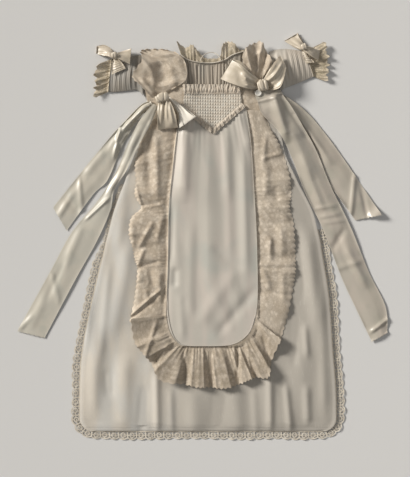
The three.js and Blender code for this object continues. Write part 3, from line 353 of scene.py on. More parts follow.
slip_satin = satin_finish("slip_satin", SLIP_SHADES, 0.5, 0.2, (16, 4, 1), darker_right_and_hem=True)
panel_satin = satin_finish("panel_satin", PANEL_SHADES, 0.40, 0.2, (30, 5, 1))
left_satin, right_satin, bow_satin, lit_loop_satin, sleeve_satin = (
    satin_finish(name, shades, roughness, 0.15, (band, band, 1), coat, ribbon_mm)
    for name, shades, roughness, band, coat, ribbon_mm in (
        ("left_ribbon_satin", COOL_RIBBON_SHADES, 0.34, 14, 0.10, WAIST_RIBBON_MM),
        ("right_ribbon_satin", RIBBON_SHADES, 0.30, 14, 0.18, WAIST_RIBBON_MM),
        ("waist_bow_satin", BOW_SHADES, 0.36, 20, 0.08, WAIST_RIBBON_MM),
        ("lit_bow_satin", LIT_LOOP_SHADES, 0.32, 20, 0.12, WAIST_RIBBON_MM),
        ("sleeve_ribbon_satin", BOW_SHADES, 0.32, 30, 0.12, SLEEVE_RIBBON_MM),
    )
)

# %% Laces: the wide beige one and the small pale one


def lace_finish(name, thread, ground, shade, motif_mm, border_mm, scallop_mm, solid):
    """Flowers of packed thread on a fine net, and a worked border along the free edge.
    Solid is how much of the net is thread."""
    finish = Finish(name)
    cloth = finish.cloth()
    across, along, _ = finish.parts(cloth)
    bent = finish.noise(cloth, 160, 2)
    mesh = (across + along).wave(0.0024) * (across - along).wave(0.0024)
    gap = finish.step(mesh, -0.1, 0.5)
    flower = finish.cells(cloth, 1000 / motif_mm, "F1", 0.75) + bent * 0.25
    petals = finish.cells(cloth, 3600 / motif_mm, "SMOOTH_F1", 0.9)
    in_flower = 1 - finish.step(flower + petals * 0.4, 0.48, 0.88)
    stems = 1 - finish.step(finish.cells(cloth, 2100 / motif_mm, "DISTANCE_TO_EDGE", 1.0), 0.03, 0.09)
    on_border = finish.step(across, border_mm[0] * MM, border_mm[1] * MM)
    eyes = along.wave(scallop_mm * MM) * 0.5 + across.wave(0.0052) * 0.5
    eyelet = finish.step(eyes, 0.45, 0.75) * on_border
    worked = in_flower.reckon("MAXIMUM", in_flower, stems * 0.5)
    worked = worked.reckon("MAXIMUM", worked, on_border * 0.75) * (1 - eyelet * 0.8)
    drift = finish.step(finish.noise(finish.place(), 26, 4), 0.40, 0.62)
    bloom = finish.step(finish.noise(finish.place(), 75, 3), 0.46, 0.60)
    colour = finish.mix(worked * 0.32 + bloom * 0.5, finish.mix(drift, ground, shade), thread)
    cover = worked * (1 - solid) + solid - gap * (1 - worked) * 0.2 - eyelet * 0.3
    return finish.shade(
        Base_Color=colour,
        Roughness=0.85,
        Alpha=cover.reckon("MINIMUM", cover, 1.0),
        Sheen_Weight=0.15,
        Normal=finish.bump(worked * 0.8 + mesh * 0.2, 0.0004, 0.35),
    )


WIDE_PATTERN = (9, (70, 77), 9, 0.88)
SMALL_PATTERN = (4.5, (24, 30), 7, 0.74)
wide_lace, right_lace, bottom_lace, small_lace = (
    lace_finish(name, thread, ground, shade, *pattern)
    for name, thread, ground, shade, pattern in (
        ("wide_lace", (0.69, 0.605, 0.495), (0.575, 0.485, 0.38), (0.505, 0.42, 0.32), WIDE_PATTERN),
        ("right_wide_lace", (0.65, 0.57, 0.47), (0.54, 0.465, 0.37), (0.48, 0.405, 0.315), WIDE_PATTERN),
        ("bottom_wide_lace", (0.55, 0.475, 0.385), (0.45, 0.38, 0.295), (0.395, 0.33, 0.25), WIDE_PATTERN),
        ("small_lace", (0.68, 0.595, 0.47), (0.51, 0.435, 0.32), (0.43, 0.365, 0.25), SMALL_PATTERN),
    )
)

# %% Edging threads, edging net, smocking, shell and cord


def thread_finish(name, light, dark, roughness=0.85, alpha=None):
    finish = Finish(name)
    place = finish.place()
    x, y, _ = finish.parts(place)
    twist = (x + y).wave(0.0007) * 0.5 + 0.5
    drift = finish.step(finish.noise(place, 160, 2), 0.35, 0.65)
    values = {"Base_Color": finish.mix(drift, light, dark), "Roughness": roughness}
    values["Normal"] = finish.bump(twist, 0.0001, 0.6)
    if alpha is not None:
        net = (x + y).wave(0.0021) * (x - y).wave(0.0021)
        values["Alpha"] = alpha + 0.25 - finish.step(net, -0.2, 0.4) * 0.5
    return finish.shade(**values)


edging_thread = thread_finish("edging_thread", (0.68, 0.62, 0.52), (0.56, 0.50, 0.41))
edging_net = thread_finish("edging_net", (0.36, 0.32, 0.26), (0.30, 0.26, 0.20), 0.9, 0.26)
smocked_silk = thread_finish("smocked_silk", (0.56, 0.52, 0.45), (0.52, 0.46, 0.38), 0.6)
frill_silk = thread_finish("frill_silk", (0.57, 0.505, 0.42), (0.50, 0.425, 0.34), 0.7)
binding_silk = thread_finish("binding_silk", (0.60, 0.55, 0.47), (0.54, 0.48, 0.40), 0.5)

shell_finish = Finish("button_shell")
bloom = shell_finish.noise(shell_finish.place(), 420, 2)
pearl = shell_finish.mix(shell_finish.step(bloom, 0.35, 0.65), (0.78, 0.74, 0.66), (0.67, 0.655, 0.62))
button_shell = shell_finish.shade(
    Base_Color=pearl,
    Roughness=0.16 + bloom * 0.1,
    Coat_Weight=0.5,
)
print("finishes", len(bpy.data.materials))

# %% [markdown]
# ## Plans, and laying cloth on cloth
# A piece is cut by a short table: each row is a place along the piece, with where its two edges lie there.
# Places are millimetres from the middle of the gown's front, as one would chalk them on the table. A smooth
# curve through the rows gives the rest. The height comes from the frame's solid, then from the folds, and
# never less than a hair over what is already there.

# %% Tables and curves
FROM_MIDDLE = (2.0, -2.2)
TURN = 2 * math.pi
EDGES = "ax ay bx by"
SIDES = "y left right"


def on_table(x, y):
    """Plan places in mm, as metres in the frame."""
    return (x + FROM_MIDDLE[0]) * MM, (y + FROM_MIDDLE[1]) * MM


def table(columns, *rows):
    names = columns.split()
    return {name: np.array([row[k] for row in rows], float) for k, name in enumerate(names)}


def size_of(rows):
    return len(next(iter(rows.values()))) - 1


def read(column, place):
    """Smooth curve through a column, at places counted in rows."""
    last = len(column) - 1
    place = np.clip(np.asarray(place, float), 0, last)
    row = np.clip(np.floor(place).astype(int), 0, last - 1)
    t = place - row
    a, b, c, d = (column[np.clip(row + k, 0, last)] for k in (-1, 0, 1, 2))
    start, end = (c - a) / 2, (d - b) / 2
    return (((2 * (b - c) + start + end) * t + 3 * (c - b) - 2 * start - end) * t + start) * t + b


def net(columns, rows):
    """Shares across (u) and along (v) for every point of a piece."""
    return np.meshgrid(np.linspace(0, 1, columns + 1), np.linspace(0, 1, rows + 1))


def strip(rows, u, v):
    """Plan of a strip between edge a and edge b."""
    place = v * size_of(rows)
    x = read(rows["ax"], place) * (1 - u) + read(rows["bx"], place) * u
    y = read(rows["ay"], place) * (1 - u) + read(rows["by"], place) * u
    return x, y


def between(sides, u, v):
    """Plan of a panel whose rows run level from its left to its right side."""
    place = v * size_of(sides)
    left, right, y = (read(sides[name], place) for name in ("left", "right", "y"))
    return left + (right - left) * u, y


def rounded_panel(sides, top, bottom, corners, inset, u, v):
    """Panel with rounded lower corners: corners are (left, right, height)."""
    straight = 0.75
    turn = np.clip((v - straight) / (1 - straight), 0, 1) * math.pi / 2
    bend = bottom + corners[2]
    y = np.where(turn > 0, bottom + corners[2] * (1 - np.sin(turn)), top + (bend - top) * v / straight)
    place = np.interp(-y, -sides["y"], np.arange(len(sides["y"])))
    left = read(sides["left"], place) + inset + corners[0] * (1 - np.cos(turn))
    right = read(sides["right"], place) - inset - corners[1] * (1 - np.cos(turn))
    return left + (right - left) * u, y


def ridges(x, y, *lines):
    """Soft ridges, or troughs where the rise is negative: (x1, y1, x2, y2, half width, rise)."""
    height = np.zeros_like(x)
    for x1, y1, x2, y2, width, rise in lines:
        dx, dy = x2 - x1, y2 - y1
        along = ((x - x1) * dx + (y - y1) * dy) / (dx * dx + dy * dy)
        across = np.hypot(x - x1 - along * dx, y - y1 - along * dy) / width
        fade = np.clip(np.minimum(along, 1 - along) * 4 + 0.5, 0, 1)
        height += rise * fade * np.exp(-across * across)
    return height


def gathers(place, pitch, seed):
    """Uneven gathers along a seam, from 0 to 1: no two are the same width."""
    wander = np.sin(place / pitch * 1.7 + seed) * 0.9 + np.sin(place / pitch * 0.61 + 2.3 * seed) * 1.6
    return 0.5 + 0.5 * np.sin(TURN * place / pitch + wander)


# %% The bed that every piece is laid on


class Bed:
    """How high the stack already is, in square cells one millimetre wide."""

    def __init__(self, low, shape):
        self.cell, self.low = MM, low
        self.heights = np.zeros(shape)
        self.spread = self.heights.copy()

    def cells(self, x, y):
        row = np.clip(((y - self.low[1]) / self.cell).astype(int), 1, self.heights.shape[0] - 2)
        column = np.clip(((x - self.low[0]) / self.cell).astype(int), 1, self.heights.shape[1] - 2)
        return row, column

    def under(self, x, y):
        return self.spread[self.cells(x, y)]

    def cover(self, x, y, z):
        """Adds a piece's upper face, filled in between its points."""
        apart = max(np.hypot(np.diff(x, axis=k), np.diff(y, axis=k)).max() for k in (0, 1))
        times = max(1, math.ceil(apart / 0.0008))
        x, y, z = (finer(a, times) for a in (x, y, z))
        np.maximum.at(self.heights, self.cells(x, y), z)
        self.spread = self.heights.copy()
        for down in (-1, 0, 1):
            for over in (-1, 0, 1):
                self.spread = np.maximum(self.spread, np.roll(self.heights, (down, over), (0, 1)))


def finer(values, times):
    """The same net with more points, in straight lines between the old ones."""
    for axis in (0, 1):
        values = np.moveaxis(values, axis, 0)
        at = np.linspace(0, len(values) - 1, (len(values) - 1) * times + 1)
        row = np.minimum(at.astype(int), len(values) - 2)
        t = (at - row)[:, None]
        values = np.moveaxis(values[row] * (1 - t) + values[row + 1] * t, 0, axis)
    return values


def relaxed(z, passes):
    """Cloth doesn't keep sharp steps: each point moves towards its neighbours' mean."""
    for _ in range(passes):
        wide = np.pad(z, 1, mode="edge")
        mean = (wide[:-2, 1:-1] + wide[2:, 1:-1] + wide[1:-1, :-2] + wide[1:-1, 2:]) / 4
        z = z * 0.5 + mean * 0.5
    return z


bed = Bed((-0.43, -0.45), (900, 870))
skins = {}
RAY_FROM, NEAR_FROM = 0.2, 0.06


def frame_height(node, x, y, side=1):
    """Height of a frame solid's upper (side 1) or lower (side -1) face, also just past its edge."""
    if node not in skins:
        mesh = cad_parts[node].data
        skins[node] = BVHTree.FromPolygons([v.co for v in mesh.vertices], [p.vertices for p in mesh.polygons])
    tree, found = skins[node], np.empty(x.shape)
    for k, (px, py) in enumerate(zip(x.flat, y.flat)):
        spot = tree.ray_cast(Vector((px, py, RAY_FROM * side)), Vector((0, 0, -side)))[0]
        if spot is None:
            spot = tree.find_nearest(Vector((px, py, NEAR_FROM * side)))[0]
        found.flat[k] = spot.z
    return found


# %% From a net of points to a thin closed sheet
CLOTH_THICK, RIBBON_THICK, EDGING_THICK = 0.45, 0.35, 0.3
HAIR = 0.25
TUBE_SIDES = 1.6


def woven(
    name, node, x, y, z, finish, cut, thick=CLOTH_THICK,
    tube=False, marks=None,
):
    """One piece of cloth. Cut is its own size in mm, across and along, for its map.
    A tube's last column meets its first, and its cut is (along the tube, round it).
    Marks are named values, one for each point."""
    rows, columns = x.shape[0] - 1, x.shape[1] - 1
    work = bmesh.new()
    sheet_map = work.loops.layers.uv.new("cloth")
    layers = {mark: work.verts.layers.float.new(mark) for mark in (marks or {})}
    bmesh.ops.create_grid(work, x_segments=columns, y_segments=rows, size=0.5)
    places = {v: (round((v.co.x + 0.5) * columns), round((v.co.y + 0.5) * rows)) for v in work.verts}
    for face in work.faces:
        face.smooth = True
        for corner in face.loops:
            i, j = places[corner.vert]
            shares = (j / rows, i / columns) if tube else (i / columns, j / rows)
            corner[sheet_map].uv = (cut[0] * MM * shares[0], cut[1] * MM * shares[1])
    for vert, (i, j) in places.items():
        vert.co = (x[j, i], y[j, i], z[j, i])
        for mark, layer in layers.items():
            vert[layer] = marks[mark][j, i]
    if tube:
        bmesh.ops.remove_doubles(work, verts=work.verts, dist=1e-6)
        bmesh.ops.recalc_face_normals(work, faces=work.faces)
        upright = max(work.faces, key=lambda face: face.calc_center_median().z).normal.z > 0
    else:
        for face in work.faces:
            face.normal_update()
        upright = sum(face.normal.z * face.calc_area() for face in work.faces) > 0
    if not upright:
        bmesh.ops.reverse_faces(work, faces=work.faces)
    finished(name, node, work, finish, cut, thick)


def finished(name, node, work, finish, cut=None, thick=None):
    """Puts a mesh in its node's place. Cloth gets its thickness on its lower side, and its area is printed as
    a share of the size it was cut to, in mm."""
    for edge in work.edges:
        edge.smooth = len(edge.link_faces) == 2 and edge.calc_face_angle(0) < math.radians(55)
    mesh = bpy.data.meshes.new(name)
    work.to_mesh(mesh)
    work.free()
    mesh.materials.append(finish)
    piece = placed(name, mesh)
    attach(piece, "root")
    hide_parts(node)
    area = sum(face.area for face in mesh.polygons) / MM ** 2
    heights = [vert.co.z / MM for vert in mesh.vertices]
    note = ""
    if thick:
        wall = piece.modifiers.new("thickness", "SOLIDIFY")
        wall.thickness, wall.offset = thick * MM, -1
        cut[0] * MM
        cut[1] * MM
        note = f", {area / (cut[0] * cut[1]):.2f} of its cut"
    spread = f"{min(heights):.1f} to {max(heights):.1f} high"
    print(f"{name}: {len(mesh.polygons)} faces, {area:.0f} mm2{note}, {spread}")
    return piece


def lay(
    name, x, y, relief, finish, cut,
    soften=3, bridge=1, thick=CLOTH_THICK, marks=None, proud=False,
):
    """Lays one sheet: the frame's height, plus its folds in mm, and never into what lies below. A proud
    sheet keeps its folds where it rests on the bed."""
    x, y = on_table(x, y)
    need = bed.under(x, y)
    need = np.where(need > 0, need + (HAIR + thick) * MM, thick * MM)
    if proud:
        need = need + (relief - relief.min()) * MM
    z = np.maximum(relaxed(frame_height(name, x, y), soften) + relief * MM, need)
    for _ in range(bridge):
        z = np.maximum(relaxed(z, 1), need)
    bed.cover(x, y, z)
    woven(
        name + "_cloth", name, x, y, z, finish, cut, thick, marks=marks,
    )


def lay_tube(
    name, plan, ring, rows, relief, finish, cut,
    thick=CLOTH_THICK, soften=2, whole=None,
):
    """Lays a flattened tube. Its ring runs once round: out along the underside and back over the top.
    The plan is told how far each point is on top, from 0 to 1. Whole lifts both layers."""
    angle, v = np.meshgrid(np.linspace(0, TURN, ring + 1), np.linspace(0, 1, rows + 1))
    u = 0.5 - 0.5 * np.cos(angle)
    on_top = np.clip(-np.sign(np.sin(angle)) * np.abs(np.sin(angle)) ** 0.55, -1, 1) * 0.5 + 0.5
    x, y = on_table(*plan(u, v, on_top))
    rest = bed.under(x, y) + (HAIR + thick) * MM
    low = np.maximum(relaxed(frame_height(name, x, y, -1), 2), rest)
    high = np.maximum(relaxed(frame_height(name, x, y, 1), soften), low + TUBE_SIDES * MM)
    folds = relief(u, v) * MM * np.clip(on_top * 2 - 1, 0, 1) ** 0.5
    lifted = whole(u, v) * MM if whole else 0
    z = np.maximum(low + (high - low) * on_top + folds + lifted, rest)
    z[:, -1] = z[:, 0]
    bed.cover(x, y, z)
    woven(
        name + "_cloth", name, x, y, z, finish, cut, thick, tube=True,
    )


# %% [markdown]
# ## The drawn-up thread at the neck
# A thin thread runs through the neck's edge and shows as one loop above it. It is a real cord, so it is one
# open curve with a round section, and both its ends go back into the neckline.

# %% Neck thread
NECK_LOOP = table(
    "x y", (-6, 335), (-2, 344), (6, 350), (16, 352), (25, 348), (31, 341), (34, 334),
)
THREAD_MM = 1.5
loop_steps = 24
loop_place = np.linspace(0, size_of(NECK_LOOP), loop_steps + 1)
loop_x, loop_y = on_table(*(read(NECK_LOOP[axis], loop_place) for axis in "xy"))
loop_z = frame_height("neck_cord", loop_x, loop_y) - THREAD_MM / 2 * MM
loop_z = np.convolve(np.pad(loop_z, 1, mode="edge"), (0.25, 0.5, 0.25), mode="valid")
thread_curve = bpy.data.curves.new("neck_thread", "CURVE")
thread_curve.dimensions = "3D"
thread_curve.bevel_depth = THREAD_MM / 2 * MM
thread_curve.bevel_resolution = 3
thread_curve.use_fill_caps = True
thread_line = thread_curve.splines.new("POLY")
thread_line.points.add(loop_steps)
for point, spot in zip(thread_line.points, zip(loop_x, loop_y, loop_z)):
    point.co = (*spot, 1)
thread_curve.materials.append(binding_silk)
neck_thread = placed("neck_thread", thread_curve)
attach(neck_thread, "root")
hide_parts("neck_cord")
thread_long = float(np.sqrt(np.diff(loop_x) ** 2 + np.diff(loop_y) ** 2 + np.diff(loop_z) ** 2).sum())
print("neck thread", round(thread_long, 4))

# %% [markdown]
# ## Skirt, slip and back bodice
# The backs lie on the table. The slip is plain, and stops short of the gauze all round. The gauze is the
# top layer: its long soft folds were left by the way it was smoothed down by hand, so they run from the
# waist to the hem and none is straight or even. Between them the silk still ripples a little.

# %% Skirt plans
SKIRT_SIDES = table(
    SIDES,
    (262, -108, 140), (162, -130, 154), (100, -152, 182), (48, -171, 208), (-5, -185, 221),
    (-110, -209, 237), (-218, -230, 245), (-290, -235, 251), (-368, -235, 252),
)
SKIRT_CORNERS = (26, 23, 24)
WAIST_Y, HEM_Y = 262, -368
PANEL_SIDES = table(
    SIDES,
    (246, -45, 80), (187, -51, 91), (122, -59, 94), (75, -65, 97), (-43, -67, 102), (-119, -71, 103),
    (-206, -72, 103),
)
PANEL_CORNERS = (24, 44, 58)
SKIRT_FOLDS = (
    (-150, 95, -162, -15, 11, 2.2), (-140, -5, -176, -190, 14, 3.0), (-206, -175, -208, -330, 12, 3.0),
    (-150, -235, -153, -362, 15, 3.4), (-90, -262, -88, -366, 6.5, 4.6), (-20, -290, -16, -366, 16, 2.4),
    (60, -290, 66, -366, 15, 2.6), (126, -262, 127, -360, 6.5, 4.6), (157, -282, 165, -364, 6, 4.2),
    (193, -170, 197, -225, 6, 4.0), (196, -285, 198, -352, 7, 4.0), (224, -110, 230, -330, 9, 2.8),
    (200, 5, 216, -170, 11, 3.2), (-180, -60, -196, -230, 8, 2.4), (-112, -290, -118, -366, 8, -3.0),
    (-182, -255, -178, -300, 9, -2.6), (172, -135, 172, -235, 6, -3.4), (30, -300, 24, -360, 12, -1.8),
    (-62, -292, -60, -366, 6, 2.0), (96, -290, 100, -366, 7, 2.2), (-212, -60, -222, -200, 6, 2.0),
    (176, 20, 186, -110, 9, -3.4),
)

# %% Backs and slip
u, v = net(60, 90)
x, y = rounded_panel(SKIRT_SIDES, WAIST_Y, HEM_Y + 3.5, SKIRT_CORNERS, 3.5, u, v)
lay("skirt_back", x, y, 0 * x, skirt_gauze, (470, 640), marks={"hem": 0 * x})

BODICE_BACK = table(
    SIDES, (340, -112.6, 127.2), (318, -113.4, 134.1), (282, -114.8, 145.2), (262.7, -110, 143),
)
u, v = net(50, 20)
x, y = between(BODICE_BACK, u, v)
lay("bodice_back", x, y, 0 * x, bodice_gauze, (250, 80))

u, v = net(60, 90)
x, y = rounded_panel(SKIRT_SIDES, WAIST_Y - 12, HEM_Y + 12, SKIRT_CORNERS, 9, u, v)
for name, below in (("slip_back", "skirt_back"), ("slip_front", "slip_back")):
    lay(name, x, y, 0 * x, slip_satin, (450, 620))

# %% [markdown]
# ## Lace along the skirt's edge
# The edging is real openwork, so it is built as openwork: one scallop has a heading tape, a ring, small
# bars and a scalloped border. The scallops are set in a straight row first, as lace comes from the card,
# and then the row is bent along the skirt's edge and lies on the table.

# %% One scallop, flat
SCALLOP_MM = 17
EDGING_MM = 16.5
SCALLOP_DIP_MM = 3.5


def little_strip(work, steps, place):
    """A narrow strip of a few faces; place gives (along, out) at a share along it and a side 0 or 1."""
    made = bmesh.ops.create_grid(work, x_segments=steps, y_segments=1, size=0.5)["verts"]
    for vert in made:
        vert.co = (*place(vert.co.x + 0.5, round(vert.co.y + 0.5)), 0)


def scallop_edge(share):
    return EDGING_MM - SCALLOP_DIP_MM * (1 - math.sin(math.pi * share) ** 0.7)


def add_scallop(work, start, chance):
    """Start is how far along the row it lies. Chance makes each a little uneven, as lace long in use is."""
    wide = SCALLOP_MM
    sway = chance.uniform(-0.7, 0.7)
    little_strip(work, 5, lambda t, side: (start + t * wide, -1.6 + side * 4.0))
    little_strip(work, 8, lambda t, side: (start + t * wide, scallop_edge(t) - 2.1 + side * 2.1))
    little_strip(work, 3, lambda t, side: (start - 1.0 + side * 2.0, 2.2 + t * 9.6))
    centre = Vector((start + wide / 2 + sway, 8.2 + chance.uniform(-0.4, 0.4), 0.12))
    first = work.verts.new(centre + Vector((4.9, 0, 0)))
    second = work.verts.new(centre + Vector((3.2, 0, 0)))
    rim = work.edges.new((first, second))
    bmesh.ops.spin(
        work, geom=[first, second, rim], cent=centre, axis=(0, 0, 1), angle=TURN, steps=11, use_merge=True,
    )
    for side in (-1, 1):
        little_strip(
            work, 1, lambda t, far, s=side: (centre.x + s * (4.6 + 3.2 * t), centre.y - 0.7 + far * 1.4),
        )
    little_strip(work, 1, lambda t, far: (centre.x - 0.8 + far * 1.6, 12.8 + t * 1.9))
    little_strip(
        work, 4, lambda t, far: (start + 4.5 + t * 8.0, centre.y - 0.55 + far * 1.1 + 0.5 * math.sin(9 * t)),
    )


# %% The skirt's edge as one curve
edge_v = np.linspace(0, 1, 400)
edge_left = rounded_panel(SKIRT_SIDES, WAIST_Y, HEM_Y, SKIRT_CORNERS, 0, 0 * edge_v, edge_v)
edge_right = rounded_panel(SKIRT_SIDES, WAIST_Y, HEM_Y, SKIRT_CORNERS, 0, 0 * edge_v + 1, edge_v)
hem_x = np.linspace(edge_left[0][-1], edge_right[0][-1], 150)[1:-1]
LACE_TOP_LEFT_Y = 100
LACE_TOP_RIGHT_Y = 18
left_part = edge_left[1] < LACE_TOP_LEFT_Y
right_part = (edge_right[1] < LACE_TOP_RIGHT_Y)[::-1]
edge_x = np.concatenate([edge_left[0][left_part], hem_x, edge_right[0][::-1][right_part]])
edge_y = np.concatenate([edge_left[1][left_part], 0 * hem_x + HEM_Y, edge_right[1][::-1][right_part]])


def smoothed_line(values):
    return np.convolve(np.pad(values, 6, mode="reflect", reflect_type="odd"), np.ones(13) / 13, mode="valid")


def lengths(x, y):
    return np.concatenate([[0], np.cumsum(np.hypot(np.diff(x), np.diff(y)))])


edge_out = lengths(edge_x, edge_y)
steady = np.arange(0, edge_out[-1], 2.0)
edge_x, edge_y = (smoothed_line(np.interp(steady, edge_out, a)) for a in (edge_x, edge_y))
turn_x, turn_y = np.gradient(edge_x), np.gradient(edge_y)
size = np.hypot(turn_x, turn_y)
out_x, out_y = turn_y / size, -turn_x / size
middle_run = lengths(edge_x + out_x * EDGING_MM / 2, edge_y + out_y * EDGING_MM / 2)
print("edging runs", round(middle_run[-1]), "mm")

# %% Bend the lace along the edge
NARROW_FROM_Y, NARROW_OVER, NARROW_SHARE = -52, 45, 0.42
LACE_FULLNESS = 1.15


def edge_lace(name, start, end, seed):
    """Scallops from one share of the edge to another, with a fine net behind them."""
    chance = np.random.default_rng(seed)
    first, last = (middle_run[-1] * share for share in (start, end))
    count = max(1, round((last - first) / SCALLOP_MM))
    work = bmesh.new()
    for k in range(count):
        add_scallop(work, k * SCALLOP_MM, chance)
    openwork = len(work.faces)
    behind = bmesh.ops.create_grid(work, x_segments=count * 4, y_segments=4, size=0.5)["verts"]
    for vert in behind:
        share = (vert.co.x + 0.5) * count % 1
        out = (vert.co.y + 0.5) * (scallop_edge(share) - 0.5)
        vert.co = ((vert.co.x + 0.5) * count * SCALLOP_MM, out, -0.3)
    for k, face in enumerate(work.faces):
        face.smooth = True
        face.material_index = int(k >= openwork)
    for vert in work.verts:
        run = first + vert.co.x / (count * SCALLOP_MM) * (last - first)
        px, py, ox, oy = (np.interp(run, middle_run, a) for a in (edge_x, edge_y, out_x, out_y))
        narrow = np.clip((NARROW_FROM_Y + NARROW_OVER - py) / NARROW_OVER, 0, 1) if px < 0 else 1
        out = vert.co.y * (NARROW_SHARE + (1 - NARROW_SHARE) * narrow)
        out *= 1 + 0.07 * math.sin(run / 23 + 1.5 * math.sin(run / 71)) * max(0, out) / EDGING_MM
        lift = 0.85 + 0.7 * (1 + math.sin(run / 5.3)) * max(0, out) / EDGING_MM + vert.co.z * 0.5
        vert.co = Vector((px + ox * out + FROM_MIDDLE[0], py + oy * out + FROM_MIDDLE[1], lift)) * MM
    for face in work.faces:
        face.normal_update()
    bmesh.ops.reverse_faces(work, faces=[face for face in work.faces if face.normal.z < 0])
    cut = (EDGING_MM + 2, LACE_FULLNESS * (last - first))
    piece = finished(
        name + "_cloth", name, work, edging_thread, cut, EDGING_THICK,
    )
    piece.data.materials.append(edging_net)


edge_lace("hem_lace_left", 0.0, 0.345, 1)
edge_lace("hem_lace_bottom", 0.3455, 0.688, 2)
edge_lace("hem_lace_right", 0.6885, 1.0, 3)

# %% The gauze skirt with its folds
u, v = net(170, 150)
x, y = rounded_panel(SKIRT_SIDES, WAIST_Y, HEM_Y, SKIRT_CORNERS, 0, u, v)
from_edge = np.minimum(np.minimum(x - x[:, :1], x[:, -1:] - x), y - HEM_Y)
hem = np.exp(-((from_edge - 3) / 3) ** 2)
ripple = np.sin(x / 21 + np.sin(y / 61) * 2.4) * np.sin(y / 57 + x / 90)
ripple = ripple + 0.5 * np.sin(x / 9 + 3 * np.sin(y / 83))
relief = ridges(x, y, *SKIRT_FOLDS) + 0.7 * ripple + 0.5 * hem
lay(
    "skirt_front", x, y, relief, skirt_gauze, (490, 640),
    marks={"hem": hem},
)

# %% [markdown]
# ## Sleeves and cuffs
# Each sleeve is a short tube of gauze that lies flat, with narrow upright tucks over its outer half. The
# cuff is a gathered frill of fine lace with an uneven scalloped edge.

# %% Sleeves
SLEEVE_LEFT = table(
    EDGES,
    (-113, 347, -116, 270), (-121, 347, -125, 280), (-136, 345, -138, 280),
    (-151, 342, -155, 278), (-164, 341, -169, 277), (-174, 340, -181, 277),
)
SLEEVE_RIGHT = table(
    EDGES,
    (124, 353, 147, 279), (137, 357, 155, 284), (151, 359, 165, 288),
    (166, 358, 178, 293), (180, 356, 193, 299), (193, 354, 209, 306),
)


def sleeve_folds(tucks, from_share, seed):
    """Fine upright tucks past a share of the sleeve, and loose slanting folds before it."""

    def relief(u, v):
        bent = v + 0.03 * np.sin(5 * u + seed)
        tuck = np.abs(np.sin(math.pi * tucks * (bent - from_share) / (1 - from_share))) ** 1.3
        uneven = 0.75 + 0.25 * np.sin(17 * v + seed)
        loose = gathers(v * 60 + u * 22, 15, seed) * 2.0 * np.clip(1 - v / from_share, 0, 1)
        return np.where(bent > from_share, 0.65 * tuck * uneven, loose)

    return relief


for name, rows, tucks, from_share, seed, finish in (
    ("sleeve_left", SLEEVE_LEFT, 12, 0.38, 1.3, shaded_left_sleeve_gauze),
    ("sleeve_right", SLEEVE_RIGHT, 11, 0.5, 2.9, lit_right_sleeve_gauze),
):
    plan = lambda u, v, on_top, rows=rows: strip(rows, u, v)
    lay_tube(
        name, plan, 56, 150, sleeve_folds(tucks, from_share, seed), finish,
        (68, 150), soften=16,
    )

# %% Cuffs
CUFF_LEFT = table(
    EDGES,
    (-174.6, 340, -190, 335), (-176, 327.4, -208, 322), (-177.4, 314.8, -210, 307),
    (-178.8, 302.2, -208, 291), (-180.2, 289.6, -211, 279), (-181.6, 277, -210, 265),
)
CUFF_RIGHT = table(
    EDGES,
    (193.6, 354, 234, 373), (197.6, 342, 239, 353), (201.6, 330, 241, 332), (205.6, 318, 240, 313),
    (209.6, 306, 238, 296),
)


def scalloped(rows, u, v, count, dip, wide):
    """Strip plan whose free edge b is cut in pointed scallops."""
    wave = np.abs((v * count) % 1 - 0.5) * 2
    return strip(rows, u * (1 - dip / wide * wave * np.clip(u * 4 - 3, 0, 1)), v)


CUFF_MM, CUFF_RUN = 32, 84
for name, rows, count, flutes in (
    ("cuff_lace_left", CUFF_LEFT, 9, 6), ("cuff_lace_right", CUFF_RIGHT, 10, 3.5),
):
    u, v = net(20, 90)
    x, y = scalloped(rows, u, v, count, 3, CUFF_MM)
    lobes = gathers(v * CUFF_RUN, 19, 1.9)
    x -= np.sign(x) * 4.5 * (1 - lobes) * u ** 2
    pleat = gathers(v * CUFF_RUN, 6.5, 0.7) * (1 - u) * 1.2 + lobes * u * flutes
    pleat = pleat + gathers(v * CUFF_RUN + 9 * u, 9, 3.1) * u * 1.6
    lay(name, x, y, pleat, small_lace, (CUFF_MM, count * 9))

# %% [markdown]
# ## Back neck lace and tucked front
# The lace of the back neck stands up behind the neckline and shows above it in two soft peaks. The front is
# gauze with nineteen upright tucks, stitched so close that they read as stripes.

# %% Neck lace
NECK_LACE = table(
    EDGES,
    (-40, 338, -52, 375), (-30, 333, -35, 362), (-21, 331, -22, 367), (-11, 329, -12, 357), (1, 328, 1, 343),
    (16, 327, 16, 341), (28, 328, 31, 344), (35, 330, 36, 366), (45, 334, 44, 373), (56, 338, 57, 371),
    (69, 342, 69, 357), (80, 345, 82, 360),
)
u, v = net(16, 200)
x, y = scalloped(NECK_LACE, u, v, 22, 2.5, 34)
pleat = gathers(v * 132, 9, 2.1) * 1.6 * (1 - 0.4 * u)
folds = ridges(x, y, (-54, 374, -38, 338, 3, 3.0), (-22, 370, -2, 334, 3, 3.2), (42, 374, 44, 340, 4, 2.4))
lay(
    "neck_lace", x, y, pleat + folds, small_lace, (33, 126),
    bridge=2,
)

